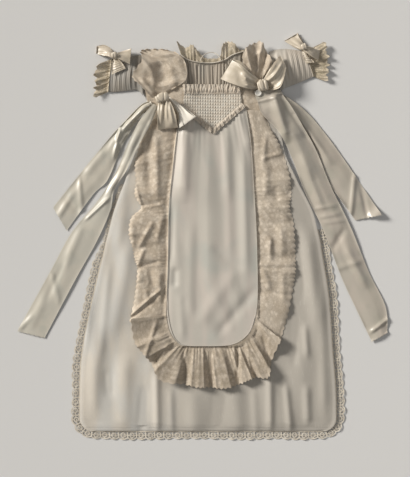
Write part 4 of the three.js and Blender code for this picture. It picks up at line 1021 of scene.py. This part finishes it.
# %% Tucked front
TUCKED_FRONT = table(
    EDGES,
    (-43, 347, -38, 284), (-30, 339, -26, 283), (-9, 334, -7, 283), (18, 333, 18, 283),
    (39, 338, 39, 283), (56, 348, 54, 284), (82, 356, 75, 285),
)
TUCKS = 19
u, v = net(24, TUCKS * 10)
x, y = strip(TUCKED_FRONT, u, v)
bent = v + 0.006 * np.sin(4 * u + 31 * v) + 0.004 * np.sin(67 * v)
lean = (bent * TUCKS) % 1
each = 0.75 + 0.5 * np.sin(np.floor(bent * TUCKS) * 2.4) ** 2
tuck = np.where(lean < 0.3, lean / 0.3, (1 - lean) / 0.7) * each
open_gaps = ridges(
    x, y, (-12, 335, -11, 300, 1.3, -1.2), (1, 333, 2, 284, 1.3, -1.2),
    (18, 333, 19, 284, 1.5, -1.8), (54, 345, 53, 284, 1.5, -1.8),
)
lay(
    "tucked_front", x, y, tuck + open_gaps - 0.9, tucked_gauze, (64, 142),
    soften=24, bridge=0,
)

# %% Lace at the sides of the bodice
SIDE_LACE_LEFT = table(
    SIDES, (344, -107, -38), (318, -109, -33), (284, -111, -31), (261, -107, -29), (246, -101, -24),
)
SIDE_LACE_RIGHT = table(
    SIDES, (350, 77, 119), (318, 74, 130), (284, 72, 142), (254, 68, 142), (238, 64, 137),
)
for name, sides in (("side_lace_left", SIDE_LACE_LEFT), ("side_lace_right", SIDE_LACE_RIGHT)):
    u, v = net(50, 60)
    x, y = between(sides, u, v)
    soft = gathers(x * 0.9 + y * 0.25, 17, 0.4) * 0.8
    lay(name, x, y, soft, wide_lace, (80, 105))

# %% [markdown]
# ## Front panel, its rolled edge and the lace ruffle
# The panel is heavier satin. One bright fold runs down from the smocking beside its left edge, and a few
# wide, shallow ones cross it lower down. The ruffle is one long lace flounce in three lengths. It is
# gathered on the panel's edge and flares to its free edge, so each row of its table is a ridge or a valley.
# Round the hem the flounce stands in deep flutes; down the sides it was pressed flat and has creases.

# %% Panel
PANEL_FOLDS = (
    (-35, 215, -36, 80, 13, 6.2), (-19, 215, -18, 70, 14, 2.6), (-1, 205, 0, 60, 16, 1.8),
    (-54, -60, -55, -92, 7, -3.2),
    (12, 170, 14, -120, 15, 1.6), (44, 190, 50, -40, 9, 1.6), (76, 160, 80, -70, 9, 2.2),
    (98, -100, 30, -180, 10, -2.6), (62, -62, -6, -160, 13, 2.0), (-24, 20, -26, -150, 10, 1.8),
    (-44, -110, -40, -190, 8, 1.8), (92, 190, 97, 60, 4, -1.4), (41, 205, 47, 80, 10, 2.2),
    (66, 236, 87, 172, 8, 3.0), (-58, 60, -60, -40, 5, -1.4),
    (20, -20, 70, -60, 10, -1.4), (-30, -130, 30, -190, 12, 1.4),
)
u, v = net(110, 150)
x, y = rounded_panel(PANEL_SIDES, 246, -206, PANEL_CORNERS, 0, u, v)
from_point = np.clip((y - 130) / 110, 0, 1)
seam_gathers = gathers(x * (1 + 0.4 * from_point), 13, 0.8) * 0.7 * from_point ** 1.5
padded = (1.8 - 1.8 * np.exp(-(((x - x[:, :1]) / 8) ** 2))) * (1 - from_point)
lay(
    "front_panel", x, y, ridges(x, y, *PANEL_FOLDS) + seam_gathers + padded, panel_satin,
    (180, 460), soften=6,
)

# %% Ruffle plans
RUFFLE_LEFT = table(
    EDGES,
    (-42, 246, -101, 240), (-48, 220, -117, 200), (-52, 187, -126, 163), (-56, 153, -132, 138),
    (-60, 117, -130, 106), (-63, 87, -132, 79), (-66, 64, -120, 57), (-66, 41, -139, 37), (-67, 10, -143, 6),
    (-67, -18, -136, -20), (-67, -39, -132, -42), (-68, -58, -127, -58), (-69, -88, -129, -90),
    (-70, -119, -134, -124), (-71, -150, -142, -161),
)
RUFFLE_BOTTOM = table(
    "ax ay bx by lift",
    (-71, -148, -139, -154, 3), (-66, -174, -133, -197, 1), (-58, -190, -118, -218, 7),
    (-48, -201, -100, -240, 1),
    (-38, -206, -82, -272, 8), (-24, -206, -37, -280, 1.5), (-9, -206, -10, -286, 7),
    (7, -206, 14, -286, 0.5),
    (23, -206, 38, -288, 8), (43, -206, 64, -282, 0.5), (57, -203, 83, -273, 7), (70, -197, 101, -267, 1),
    (81, -188, 124, -266, 8), (90, -177, 130, -236, 1), (99, -157, 147, -194, 5),
)
RUFFLE_RIGHT = table(
    EDGES,
    (98, -160, 145, -205), (101, -140, 154, -174), (103, -117, 164, -136), (103, -88, 172, -92),
    (102, -62, 176, -66), (102, -36, 176, -39), (101, -5, 175, -5), (100, 30, 172, 31), (98, 58, 165, 58),
    (96, 79, 168, 81), (95, 106, 166, 110), (93, 140, 157, 147), (91, 174, 143, 182), (87, 208, 128, 208),
    (81, 242, 115, 241),
)
RUFFLE_MM = 80
RUFFLE_SCALLOP_MM = 9
RUFFLE_CREASES = {
    "ruffle_left": (
        (-134, 118, -117, 56, 2.6, 3.0), (-117, 56, -76, 63, 3.2, 2.2), (-98, 26, -122, -18, 4, 3.2),
        (-113, -22, -126, -56, 4, 3.0), (-122, -54, -86, -47, 4, -2.4), (-142, -151, -82, -100, 3, 4.6),
        (-146, -160, -86, -108, 4, -2.8), (-90, 190, -88, 80, 7, 4.2), (-106, 180, -104, 96, 6, -2.6),
        (-76, 44, -88, -6, 5, 2.4), (-136, 24, -134, -20, 6, 2.6), (-124, -62, -122, -84, 8, 3.4),
        (-102, -60, -96, -92, 5, -2.4), (-84, -70, -82, -120, 6, 2.6), (-110, -100, -104, -124, 5, 2.4),
        (-128, 200, -108, 168, 5, 2.4), (-118, 220, -92, 208, 4, -2.0),
    ),
    "ruffle_bottom": (
        (-111, -228, -90, -162, 3.5, 3.4), (-92, -257, -90, -232, 3, -2.4), (14, -212, 14, -288, 3.4, -6.0),
        (65, -202, 66, -280, 3.6, -6.0), (-37, -214, -39, -280, 4.5, -4.0), (82, -212, 92, -266, 3.5, 3.0),
        (108, -170, 138, -212, 3.5, 2.0), (112, -183, 128, -250, 4, -3.0), (-66, -200, -96, -262, 3, 2.0),
    ),
    "ruffle_right": (
        (119, 66, 160, 38, 3, 3.4), (104, -50, 172, -52, 5, 2.4), (112, 150, 150, 160, 4, 2.2),
        (106, -100, 165, -112, 4, -2.4), (120, 140, 118, 80, 7, 3.0), (118, 190, 112, 130, 5, 2.6),
        (98, -156, 150, -200, 4, 3.0), (146, 20, 150, -30, 8, 3.6), (100, 20, 128, -2, 4, 2.4),
        (128, -2, 126, -30, 4, 2.0), (124, -4, 128, -44, 5, 2.8),
        (112, -60, 126, -96, 5, 2.8), (150, -70, 152, -120, 6, 2.4), (136, 96, 140, 70, 6, -2.2),
    ),
}

# %% Lay the ruffle


def fluted(rows, u, v):
    """Makes the table's ridges broad and its valleys narrow, more so towards the free edge."""
    lift = read(rows["lift"], v * size_of(rows))
    share = np.clip((lift / 8 - 0.10) / 0.40, 0, 1)
    return (12 * share * share * (3 - 2 * share) - lift) * u ** 0.7


for name, rows, scallops, lace, tucked_in in (
    ("ruffle_left", RUFFLE_LEFT, 48, wide_lace, 5),
    ("ruffle_bottom", RUFFLE_BOTTOM, 42, bottom_lace, 5),
    ("ruffle_right", RUFFLE_RIGHT, 48, right_lace, 2.5),
):
    u, v = net(32, scallops * 7)
    x, y = scalloped(rows, u, v, scallops, 3.2, RUFFLE_MM)
    along = v * scallops * RUFFLE_SCALLOP_MM
    seam = gathers(along, 11, len(name)) * (1 - u) ** 2 * (1.2 if name == "ruffle_bottom" else 0.5)
    flare = gathers(along, 27, 0.3 * len(name)) * u ** 1.5 * 1.2
    relief = seam + flare + ridges(x, y, *RUFFLE_CREASES[name]) - tucked_in * (1 - u) ** 6
    if name == "ruffle_bottom":
        relief += fluted(rows, u, v)
    else:
        relief -= 4 * u ** 10
    cut = (RUFFLE_MM, scallops * RUFFLE_SCALLOP_MM)
    lay(name, x, y, relief, lace, cut, soften=4)

# %% Rolled edge round the panel


ROLL_SIDES = 10


def rolled_edge(name, line_x, line_y, radius, finish):
    """A thin roll along a line of places in mm, laid on the bed."""
    run = lengths(line_x, line_y)
    at = np.linspace(0, run[-1], int(run[-1] / 3) + 1)
    px, py = (np.interp(at, run, a) for a in (line_x, line_y))
    tx, ty = np.gradient(px), np.gradient(py)
    long = np.hypot(tx, ty)
    mx, my = on_table(px, py)
    centre = bed.under(mx, my) + (HAIR + radius) * MM
    for _ in range(4):
        mean = np.convolve(np.pad(centre, 1, mode="edge"), (0.3, 0.4, 0.3), mode="valid")
        centre = np.maximum(centre, mean)
    angle = np.linspace(0, TURN, ROLL_SIDES + 1)[None, :]
    x = mx[:, None] - np.cos(angle) * radius * MM * (ty / long)[:, None]
    y = my[:, None] + np.cos(angle) * radius * MM * (tx / long)[:, None]
    z = centre[:, None] + np.sin(angle) * radius * MM
    bed.cover(x, y, z)
    x[:, -1], y[:, -1], z[:, -1] = x[:, 0], y[:, 0], z[:, 0]
    woven(name + "_roll", name, x, y, z, finish, (run[-1], TURN * radius), None, tube=True)


def ruffle_seam(axis):
    """Where the ruffle is sewn on, all round the panel."""
    plans = (RUFFLE_LEFT, RUFFLE_BOTTOM, RUFFLE_RIGHT)
    parts = [read(rows[axis], np.linspace(1, size_of(rows), 60)) for rows in plans]
    return smoothed_line(np.concatenate(parts))


rolled_edge("panel_piping", ruffle_seam("ax"), ruffle_seam("ay"), 0.5, panel_satin)

# %% [markdown]
# ## Smocking
# Smocking gathers cloth into tiny pleats and stitches them in rows. Each row of stitches pinches the pleats,
# so the surface becomes a grid of small puffs. The frills beside it are the free ends of those pleats, so
# they are close, round and uneven.

# %% Smocked point and frills
SMOCKED_POINT = table(
    SIDES, (275, -36, 70), (254, -37, 71), (239, -19, 53), (223, -1, 37), (209, 15, 22),
)
PUFF_WIDE, PUFF_HIGH = 4.8, 5.7
u, v = net(170, 110)
x, y = between(SMOCKED_POINT, u, v)
sag = 1.2 * np.sin((x - 18) / 34)
puff = (np.sin(math.pi * x / PUFF_WIDE) * np.sin(math.pi * (y + sag) / PUFF_HIGH)) ** 2
lay(
    "smocked_point", x, y, 1.1 * puff - 0.6, smocked_silk, (100, 64),
    soften=260, bridge=0, proud=True,
)

POINT_X, POINT_Y = 18, 208
FRILL_FOOT = POINT_Y - 12
FRILLS = {
    "smock_frill_top": ((-38, 273, -40, 291), (71, 273, 73, 291)),
    "point_frill_left": ((-39, 256, -47, 248), (POINT_X - 1, POINT_Y, POINT_X - 1, FRILL_FOOT)),
    "point_frill_right": ((72, 256, 80, 248), (POINT_X + 1, POINT_Y, POINT_X + 1, FRILL_FOOT)),
}
for name, puffs, wide, long in (
    ("smock_frill_top", 27, 18, 150), ("point_frill_left", 19, 12.5, 88), ("point_frill_right", 19, 12.5, 88),
):
    u, v = net(16, puffs * 9)
    x, y = strip(table(EDGES, *FRILLS[name]), u, v)
    each = 0.65 + 0.5 * np.sin(2.1 * np.floor(v * puffs) + len(name)) ** 2
    puff = np.abs(np.sin(math.pi * puffs * v + 0.9 * np.sin(17 * v + 4 * u))) ** 0.8 * each
    body = 0.35 + 0.65 * np.abs(np.sin(math.pi * (1.5 * u + 0.25 * np.sin(29 * v))))
    relief = puff * 1.3 * body - 0.6 - 3.5 * (1 - u) ** 5
    lay(
        name, x, y, relief, frill_silk, (wide, long),
        soften=24,
    )

# %% Neckline binding
NECKLINE = table("x y", (-44, 347), (-30, 338), (-9, 333), (18, 332), (39, 337), (56, 347), (82, 355))
place = np.linspace(0, size_of(NECKLINE), 90)
rolled_edge(
    "neck_binding", read(NECKLINE["x"], place), read(NECKLINE["y"], place), 1.2, binding_silk,
)

# %% [markdown]
# ## Shoulder frills
# A wide lace frill is sewn round each armhole and thrown back over the shoulder. The left one is spread
# like a fan with one long fold across it, the right one is pinched together under the bow.

# %% Shoulder frills
SHOULDER_LEFT = table(
    EDGES,
    (-41, 342, -55, 353), (-35, 333, -84, 358), (-32, 321, -119, 355), (-31, 309, -117, 337),
    (-35, 297, -136, 306), (-51, 286, -117, 285), (-70, 276, -98, 264),
)
SHOULDER_RIGHT = table(
    EDGES,
    (90, 308, 72, 342), (95, 304, 81, 361), (99, 302, 94, 369), (103, 300, 110, 373), (107, 300, 120, 354),
    (111, 302, 130, 337), (115, 305, 128, 319),
)
u, v = net(60, 160)
x, y = scalloped(SHOULDER_LEFT, u, v, 17, 2.4, 90)
folds = ridges(
    x, y, (-124, 347, -97, 316, 4, 3.0), (-97, 316, -94, 286, 5, 2.0), (-136, 306, -96, 262, 3, 3.0),
    (-82, 330, -76, 292, 12, -5.0), (-128, 316, -104, 300, 5, -2.0), (-50, 340, -34, 300, 8, 2.0),
    (-118, 300, -92, 270, 5, 2.6), (-62, 322, -54, 290, 6, 2.0), (-100, 352, -60, 346, 5, 1.6),
)
soft = gathers(v * 150 + u * 20, 24, 1.1) * 1.2 * u
lay(
    "shoulder_frill_left", x, y, folds + soft, wide_lace, (90, 105),
    soften=5,
)

u, v = net(36, 140)
x, y = scalloped(SHOULDER_RIGHT, u, v, 10, 3.2, 70)
soft = gathers(v * 110 + 14 * u, 23, 0.5) * 2.2 * np.clip(u * 1.4, 0, 1)
folds = ridges(
    x, y, (80, 362, 92, 312, 4, 3.0), (112, 372, 104, 330, 4, 3.0), (97, 360, 101, 320, 4, -3.0),
    (118, 352, 110, 312, 4, -2.4), (88, 344, 112, 352, 4, 1.8),
)
lay(
    "shoulder_frill_right", x, y, soft + folds, wide_lace, (60, 76),
    soften=4,
)

# %% [markdown]
# ## Ribbon ends
# The ribbon is two inches wide. Near the knot it is pinched and folded lengthwise, and it opens out
# further down. Creases from being packed away cross it at a slant. The cut ends have frayed a little.

# %% Ribbon plans
LEFT_SHORT_END = table(
    EDGES,
    (-101, 259, -96, 250), (-118, 252, -108, 240), (-142, 229, -127, 222), (-159, 211, -144, 194),
    (-174, 195, -158, 168), (-215, 146, -183, 109), (-240, 115, -210, 82), (-286, 58, -260, 14),
)
LEFT_LONG_END = table(
    EDGES,
    (-96, 254, -85, 248), (-122, 220, -102, 211), (-144, 176, -125, 171), (-163, 131, -146, 128),
    (-182, 98, -170, 90), (-206, 64, -177, 53), (-252, 8, -202, -5), (-292, -65, -246, -84),
    (-354, -177, -302, -190),
)
RIGHT_LONG_END = table(
    EDGES,
    (95, 278, 146, 280), (103, 256, 153, 267), (112, 233, 167, 248), (143, 200, 187, 214),
    (168, 151, 214, 166), (193, 86, 241, 100),
    (228, 14, 279, 22), (262, -74, 314, -64), (293, -141, 346, -130), (320, -197, 350, -180),
)
RIGHT_SHORT_END = table(
    EDGES,
    (150, 272, 132, 266), (180, 252, 153, 227), (212, 222, 181, 189), (253, 169, 217, 134),
    (291, 114, 252, 84), (338, 44, 288, 34),
)
RIBBON_CREASES = {
    "waist_left_short_end": (
        (-158, 210, -170, 155, 3, 3.6), (-236, 110, -232, 44, 2.6, 3.4), (-112, 246, -150, 208, 4, 4.2),
        (-190, 165, -225, 120, 7, 2.8), (-128, 226, -166, 178, 3, -2.6), (-262, 76, -238, 50, 7, -2.4),
        (-250, 84, -276, 40, 6, 2.6),
    ),
    "waist_left_long_end": (
        (-98, 254, -124, 214, 7, 3.0), (-124, 216, -165, 128, 9, 3.6), (-88, 247, -104, 211, 3.2, 1.8),
        (-104, 213, -148, 124, 3.2, 2.2), (-181, 74, -224, 34, 3, 3.0), (-290, -68, -274, -126, 2.6, 3.2),
        (-232, 20, -268, -60, 8, 2.4), (-300, -110, -330, -170, 9, 2.2), (-262, -40, -300, -120, 6, -1.8),
        (-350, -174, -326, -150, 4, 2.4),
    ),
    "waist_right_long_end": (
        (134, 268, 157, 188, 8, 8.0), (176, 236, 190, 196, 8, 2.0), (166, 205, 206, 120, 9, 4.0),
        (210, 54, 254, 62, 2.2, 2.4), (222, 38, 261, 47, 2.2, 2.6),
        (228, 28, 269, 33, 2.2, 2.2), (186, 150, 224, 60, 7, 3.4), (270, -20, 308, -90, 8, 3.8),
        (318, -180, 352, -154, 3, 3.8),
        (122, 240, 146, 200, 6, -2.4), (268, 14, 246, -22, 5, -3.2), (252, -60, 300, -44, 4, 2.4),
        (150, 262, 196, 190, 4, -2.4),
        (104, 258, 140, 266, 4, 2.6), (250, 10, 280, -60, 8, -2.4),
    ),
    "waist_right_short_end": (
        (160, 255, 236, 150, 6, 4.0), (236, 99, 270, 58, 4, 3.0), (176, 226, 226, 152, 4, -3.0),
        (288, 122, 280, 40, 4, 3.6), (298, 110, 312, 38, 3.5, -3.2), (352, 64, 324, 28, 15, 9.0),
    ),
}


def ribbon_end(name, rows, steps, ribbon_mm, long, finish, arch=1.0, soften=4):
    u, v = net(28, steps)
    x, y = strip(rows, u, v)
    y = y - 0.06 * ribbon_mm * gathers(u * 50, 3.1, 0.6) * np.clip(v * steps - steps + 1, 0, 1)
    wavy = arch * np.sin(math.pi * u) * 0.8 * np.sin(v * 23) ** 2
    edges = 0.9 * (np.abs(2 * u - 1) ** 6) * (0.5 + 0.5 * np.sin(v * 37))
    relief = ridges(x, y, *RIBBON_CREASES.get(name, ())) + wavy + edges
    lay(
        name, x, y, relief, finish, (ribbon_mm, long),
        soften=soften, bridge=2, thick=RIBBON_THICK,
    )


# %% Waist ribbon ends
ribbon_end("waist_left_short_end", LEFT_SHORT_END, 150, WAIST_RIBBON_MM, 275, left_satin)
ribbon_end("waist_right_short_end", RIGHT_SHORT_END, 150, WAIST_RIBBON_MM, 300, right_satin)
ribbon_end("waist_left_long_end", LEFT_LONG_END, 220, WAIST_RIBBON_MM, 500, left_satin, soften=60)
ribbon_end("waist_right_long_end", RIGHT_LONG_END, 240, WAIST_RIBBON_MM, 530, right_satin)

# %% [markdown]
# ## Bows
# A bow loop is a length of ribbon doubled back to the knot. From above it is a flattened tube that opens at
# the ribbon's two edges, with pleats that run out of the knot and fade towards the tip. The upper layer
# lies a little to one side of the lower one, so the inside shows, and some loops tip up off the cloth.

# %% Bow loops
LOOPS = {
    "waist_left_loop_side": table(
        EDGES, (-75, 260, -68, 269), (-50, 238, -40, 250), (-47, 222, -25, 238), (-45, 207, -13, 228),
    ),
    "waist_right_loop_out": table(
        EDGES, (115, 280, 112, 296), (136, 280, 121, 312), (148, 289, 131, 328), (157, 322, 145, 345),
    ),
    "waist_left_loop_low": table(
        EDGES, (-86, 264, -71, 268), (-87, 246, -56, 253), (-87, 226, -47, 232), (-86, 204, -48, 208),
    ),
    "waist_right_loop_in": table(
        EDGES, (109, 282, 109, 297), (84, 282, 87, 317), (60, 288, 71, 333), (32, 300, 53, 338),
    ),
    "sleeve_left_loop_out": table(
        EDGES, (-169, 338, -168, 349), (-183, 344, -178, 361), (-194, 346, -190, 367), (-204, 350, -203, 364),
    ),
    "sleeve_right_loop_in": table(EDGES, (190, 354, 193, 365), (173, 362, 187, 378), (154, 374, 180, 389)),
    "sleeve_left_loop_in": table(
        EDGES, (-169, 339, -168, 349), (-156, 336, -155, 354), (-139, 328, -137, 359),
    ),
    "sleeve_right_loop_out": table(EDGES, (189, 354, 191, 364), (205, 343, 209, 361), (218, 337, 222, 357)),
}


LOOP_CREASES = {
    "waist_left_loop_side": ((-10, 250, -10, 208, 20, 7.0), (-62, 258, -40, 226, 4, 2.0)),
    "waist_right_loop_out": (
        (112, 290, 150, 330, 4, 2.6), (124, 284, 158, 312, 4, -2.0), (140, 336, 156, 326, 4, 2.4),
    ),
    "waist_left_loop_low": (
        (-76, 262, -80, 214, 3, 2.4), (-68, 262, -66, 224, 2.6, 3.0), (-72, 262, -73, 226, 2, -2.0),
        (-60, 258, -54, 216, 3, 2.4),
    ),
    "waist_right_loop_in": (
        (70, 328, 97, 296, 3.4, 3.2), (77, 314, 84, 285, 3.2, 4.0), (66, 322, 71, 286, 3.4, -2.2),
        (44, 304, 78, 292, 7, 1.4),
    ),
}


OPENED = 0.16
TILTS = {
    "waist_left_loop_side": 10, "waist_right_loop_in": 6, "sleeve_left_loop_in": 5, "waist_right_loop_out": 3,
}


def bow_loop(name, pleats, rise, ribbon_mm, long, finish):
    rows = LOOPS[name]

    def relief(u, v):
        near_knot = np.clip(1.15 - u, 0, 1) ** 1.2
        pinch = np.sin(math.pi * pleats * v + 0.7 * np.sin(3 * v) + 1.2 * u) ** 2
        creases = ridges(*strip(rows, v, u), *LOOP_CREASES.get(name, ()))
        return rise * pinch * near_knot + 0.6 * rise * np.sin(math.pi * u) * np.sin(math.pi * v) + creases

    def plan(u, v, on_top):
        opened = OPENED * np.clip(on_top * 2 - 1, 0, 1) * np.sin(math.pi * u) ** 0.5
        return strip(rows, v * (1 - opened), u)

    whole = lambda u, v: TILTS.get(name, 0) * u ** 2.2
    lay_tube(
        name, plan, 44, 44, relief, finish, (ribbon_mm, long),
        RIBBON_THICK, whole=whole,
    )


for name, pleats, ribbon_mm, long, finish, below in (
    # The side loop's paler satin is painted light.
    ("waist_left_loop_side", 2, 34, 100, lit_loop_satin, "ruffle_left"),
    ("waist_right_loop_out", 3, 44, 112, bow_satin, "shoulder_frill_right"),
    ("waist_left_loop_low", 3, WAIST_RIBBON_MM, 120, bow_satin, "ruffle_left"),
    ("waist_right_loop_in", 2, WAIST_RIBBON_MM, 144, bow_satin, "shoulder_frill_right"),
):
    bow_loop(name, pleats, 2.4, ribbon_mm, long, finish)

# %% Sleeve bow ends and loops
SLEEVE_ENDS = {
    "sleeve_left_bow_end": table(
        EDGES, (-171, 339, -163, 340), (-174, 326, -155, 332), (-174, 310, -148, 321),
    ),
    "sleeve_right_bow_end": table(EDGES, (187, 355, 194, 355), (190, 343, 202, 343), (194, 331, 210, 333)),
}
for name, rows in SLEEVE_ENDS.items():
    ribbon_end(name, rows, 40, 18, 30, sleeve_satin, 1.5)
for name, long in (
    ("sleeve_left_loop_out", 78), ("sleeve_right_loop_in", 76),
    ("sleeve_left_loop_in", 66), ("sleeve_right_loop_out", 60),
):
    bow_loop(name, 2, 1.8, SLEEVE_RIBBON_MM, long, sleeve_satin)

# %% [markdown]
# ## Knots and button
# The knot is a short piece of the same ribbon wrapped round the bow and pinched, so it is an open band with
# two or three deep, uneven pleats that run round it. The button is a dished disc of shell.

# %% Knots
KNOTS = {
    "waist_bow_left_knot": (12.5, 9, 20, (-0.45, 0.3), 45),
    "waist_bow_right_knot": (10, 12, 15, (-0.5, 0.05, 0.55), 50),
    "sleeve_bow_left_knot": (5, 6, 0, (-0.2,), 26),
    "sleeve_bow_right_knot": (5, 6, 20, (0.15,), 26),
}


def knot(name, long, wide, turn, pleats, round_mm, finish):
    """Long and wide are half sizes in mm; the band's ring runs round its long axis. Pleats are places
    along it, from -1 to 1."""
    low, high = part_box(name)
    centre, half_high = (low + high) / 2, (high.z - low.z) / 2 / MM
    angle, share = np.meshgrid(np.linspace(0, TURN, 49), np.linspace(-1, 1, 45))
    dent = sum(np.exp(-(((share - at - 0.22 * np.sin(angle + 5 * at)) / 0.13) ** 2)) for at in pleats)
    slim = (1 - 0.42 * share ** 4) * (1 - 0.19 * dent)
    across = np.cos(angle) * wide * slim * (1 + 0.05 * np.sin(2 * angle + 2 * share))
    up = np.sign(np.sin(angle)) * np.abs(np.sin(angle)) ** 0.8 * half_high * slim * (0.94 - 0.1 * share)
    spin = math.radians(turn)
    x = centre.x + (share * long * math.cos(spin) - across * math.sin(spin)) * MM
    y = centre.y + (share * long * math.sin(spin) + across * math.cos(spin)) * MM
    z = centre.z + np.maximum(up, -0.8 * half_high) * MM
    x[:, -1], y[:, -1], z[:, -1] = x[:, 0], y[:, 0], z[:, 0]
    cut = (2.2 * long, round_mm)
    woven(name + "_band", name, x, y, z, finish, cut, RIBBON_THICK, tube=True)


for name, sizes in KNOTS.items():
    knot(name, *sizes, bow_satin if "waist" in name else sleeve_satin)

# %% Button, turned as a lathe turns it
low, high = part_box("button_right")
button_spot = (low + high) / 2
BUTTON_PROFILE = ((0, 0), (5.2, 0), (6.5, 1.5), (5.85, 3.0), (4.6, 3.0), (2.6, 1.9), (0, 1.8))
work = bmesh.new()
corners = [work.verts.new((r * MM, 0, z * MM)) for r, z in BUTTON_PROFILE]
sides = [work.edges.new(pair) for pair in zip(corners, corners[1:])]
bmesh.ops.spin(
    work, geom=corners + sides, cent=(0, 0, 0), axis=(0, 0, 1), angle=TURN, steps=48, use_merge=True,
)
bmesh.ops.remove_doubles(work, verts=work.verts, dist=1e-6)
bmesh.ops.recalc_face_normals(work, faces=work.faces)
rims = [edge for edge in work.edges if edge.calc_face_angle(0) > math.radians(25)]
bmesh.ops.bevel(
    work, geom=rims, offset=0.25 * MM, offset_type="OFFSET", affect="EDGES", segments=2, profile=0.5,
    material=-1,
)
bmesh.ops.translate(work, verts=work.verts, vec=(button_spot.x, button_spot.y, low.z))
for face in work.faces:
    face.smooth = True
finished("shell_button", "button_right", work, button_shell)
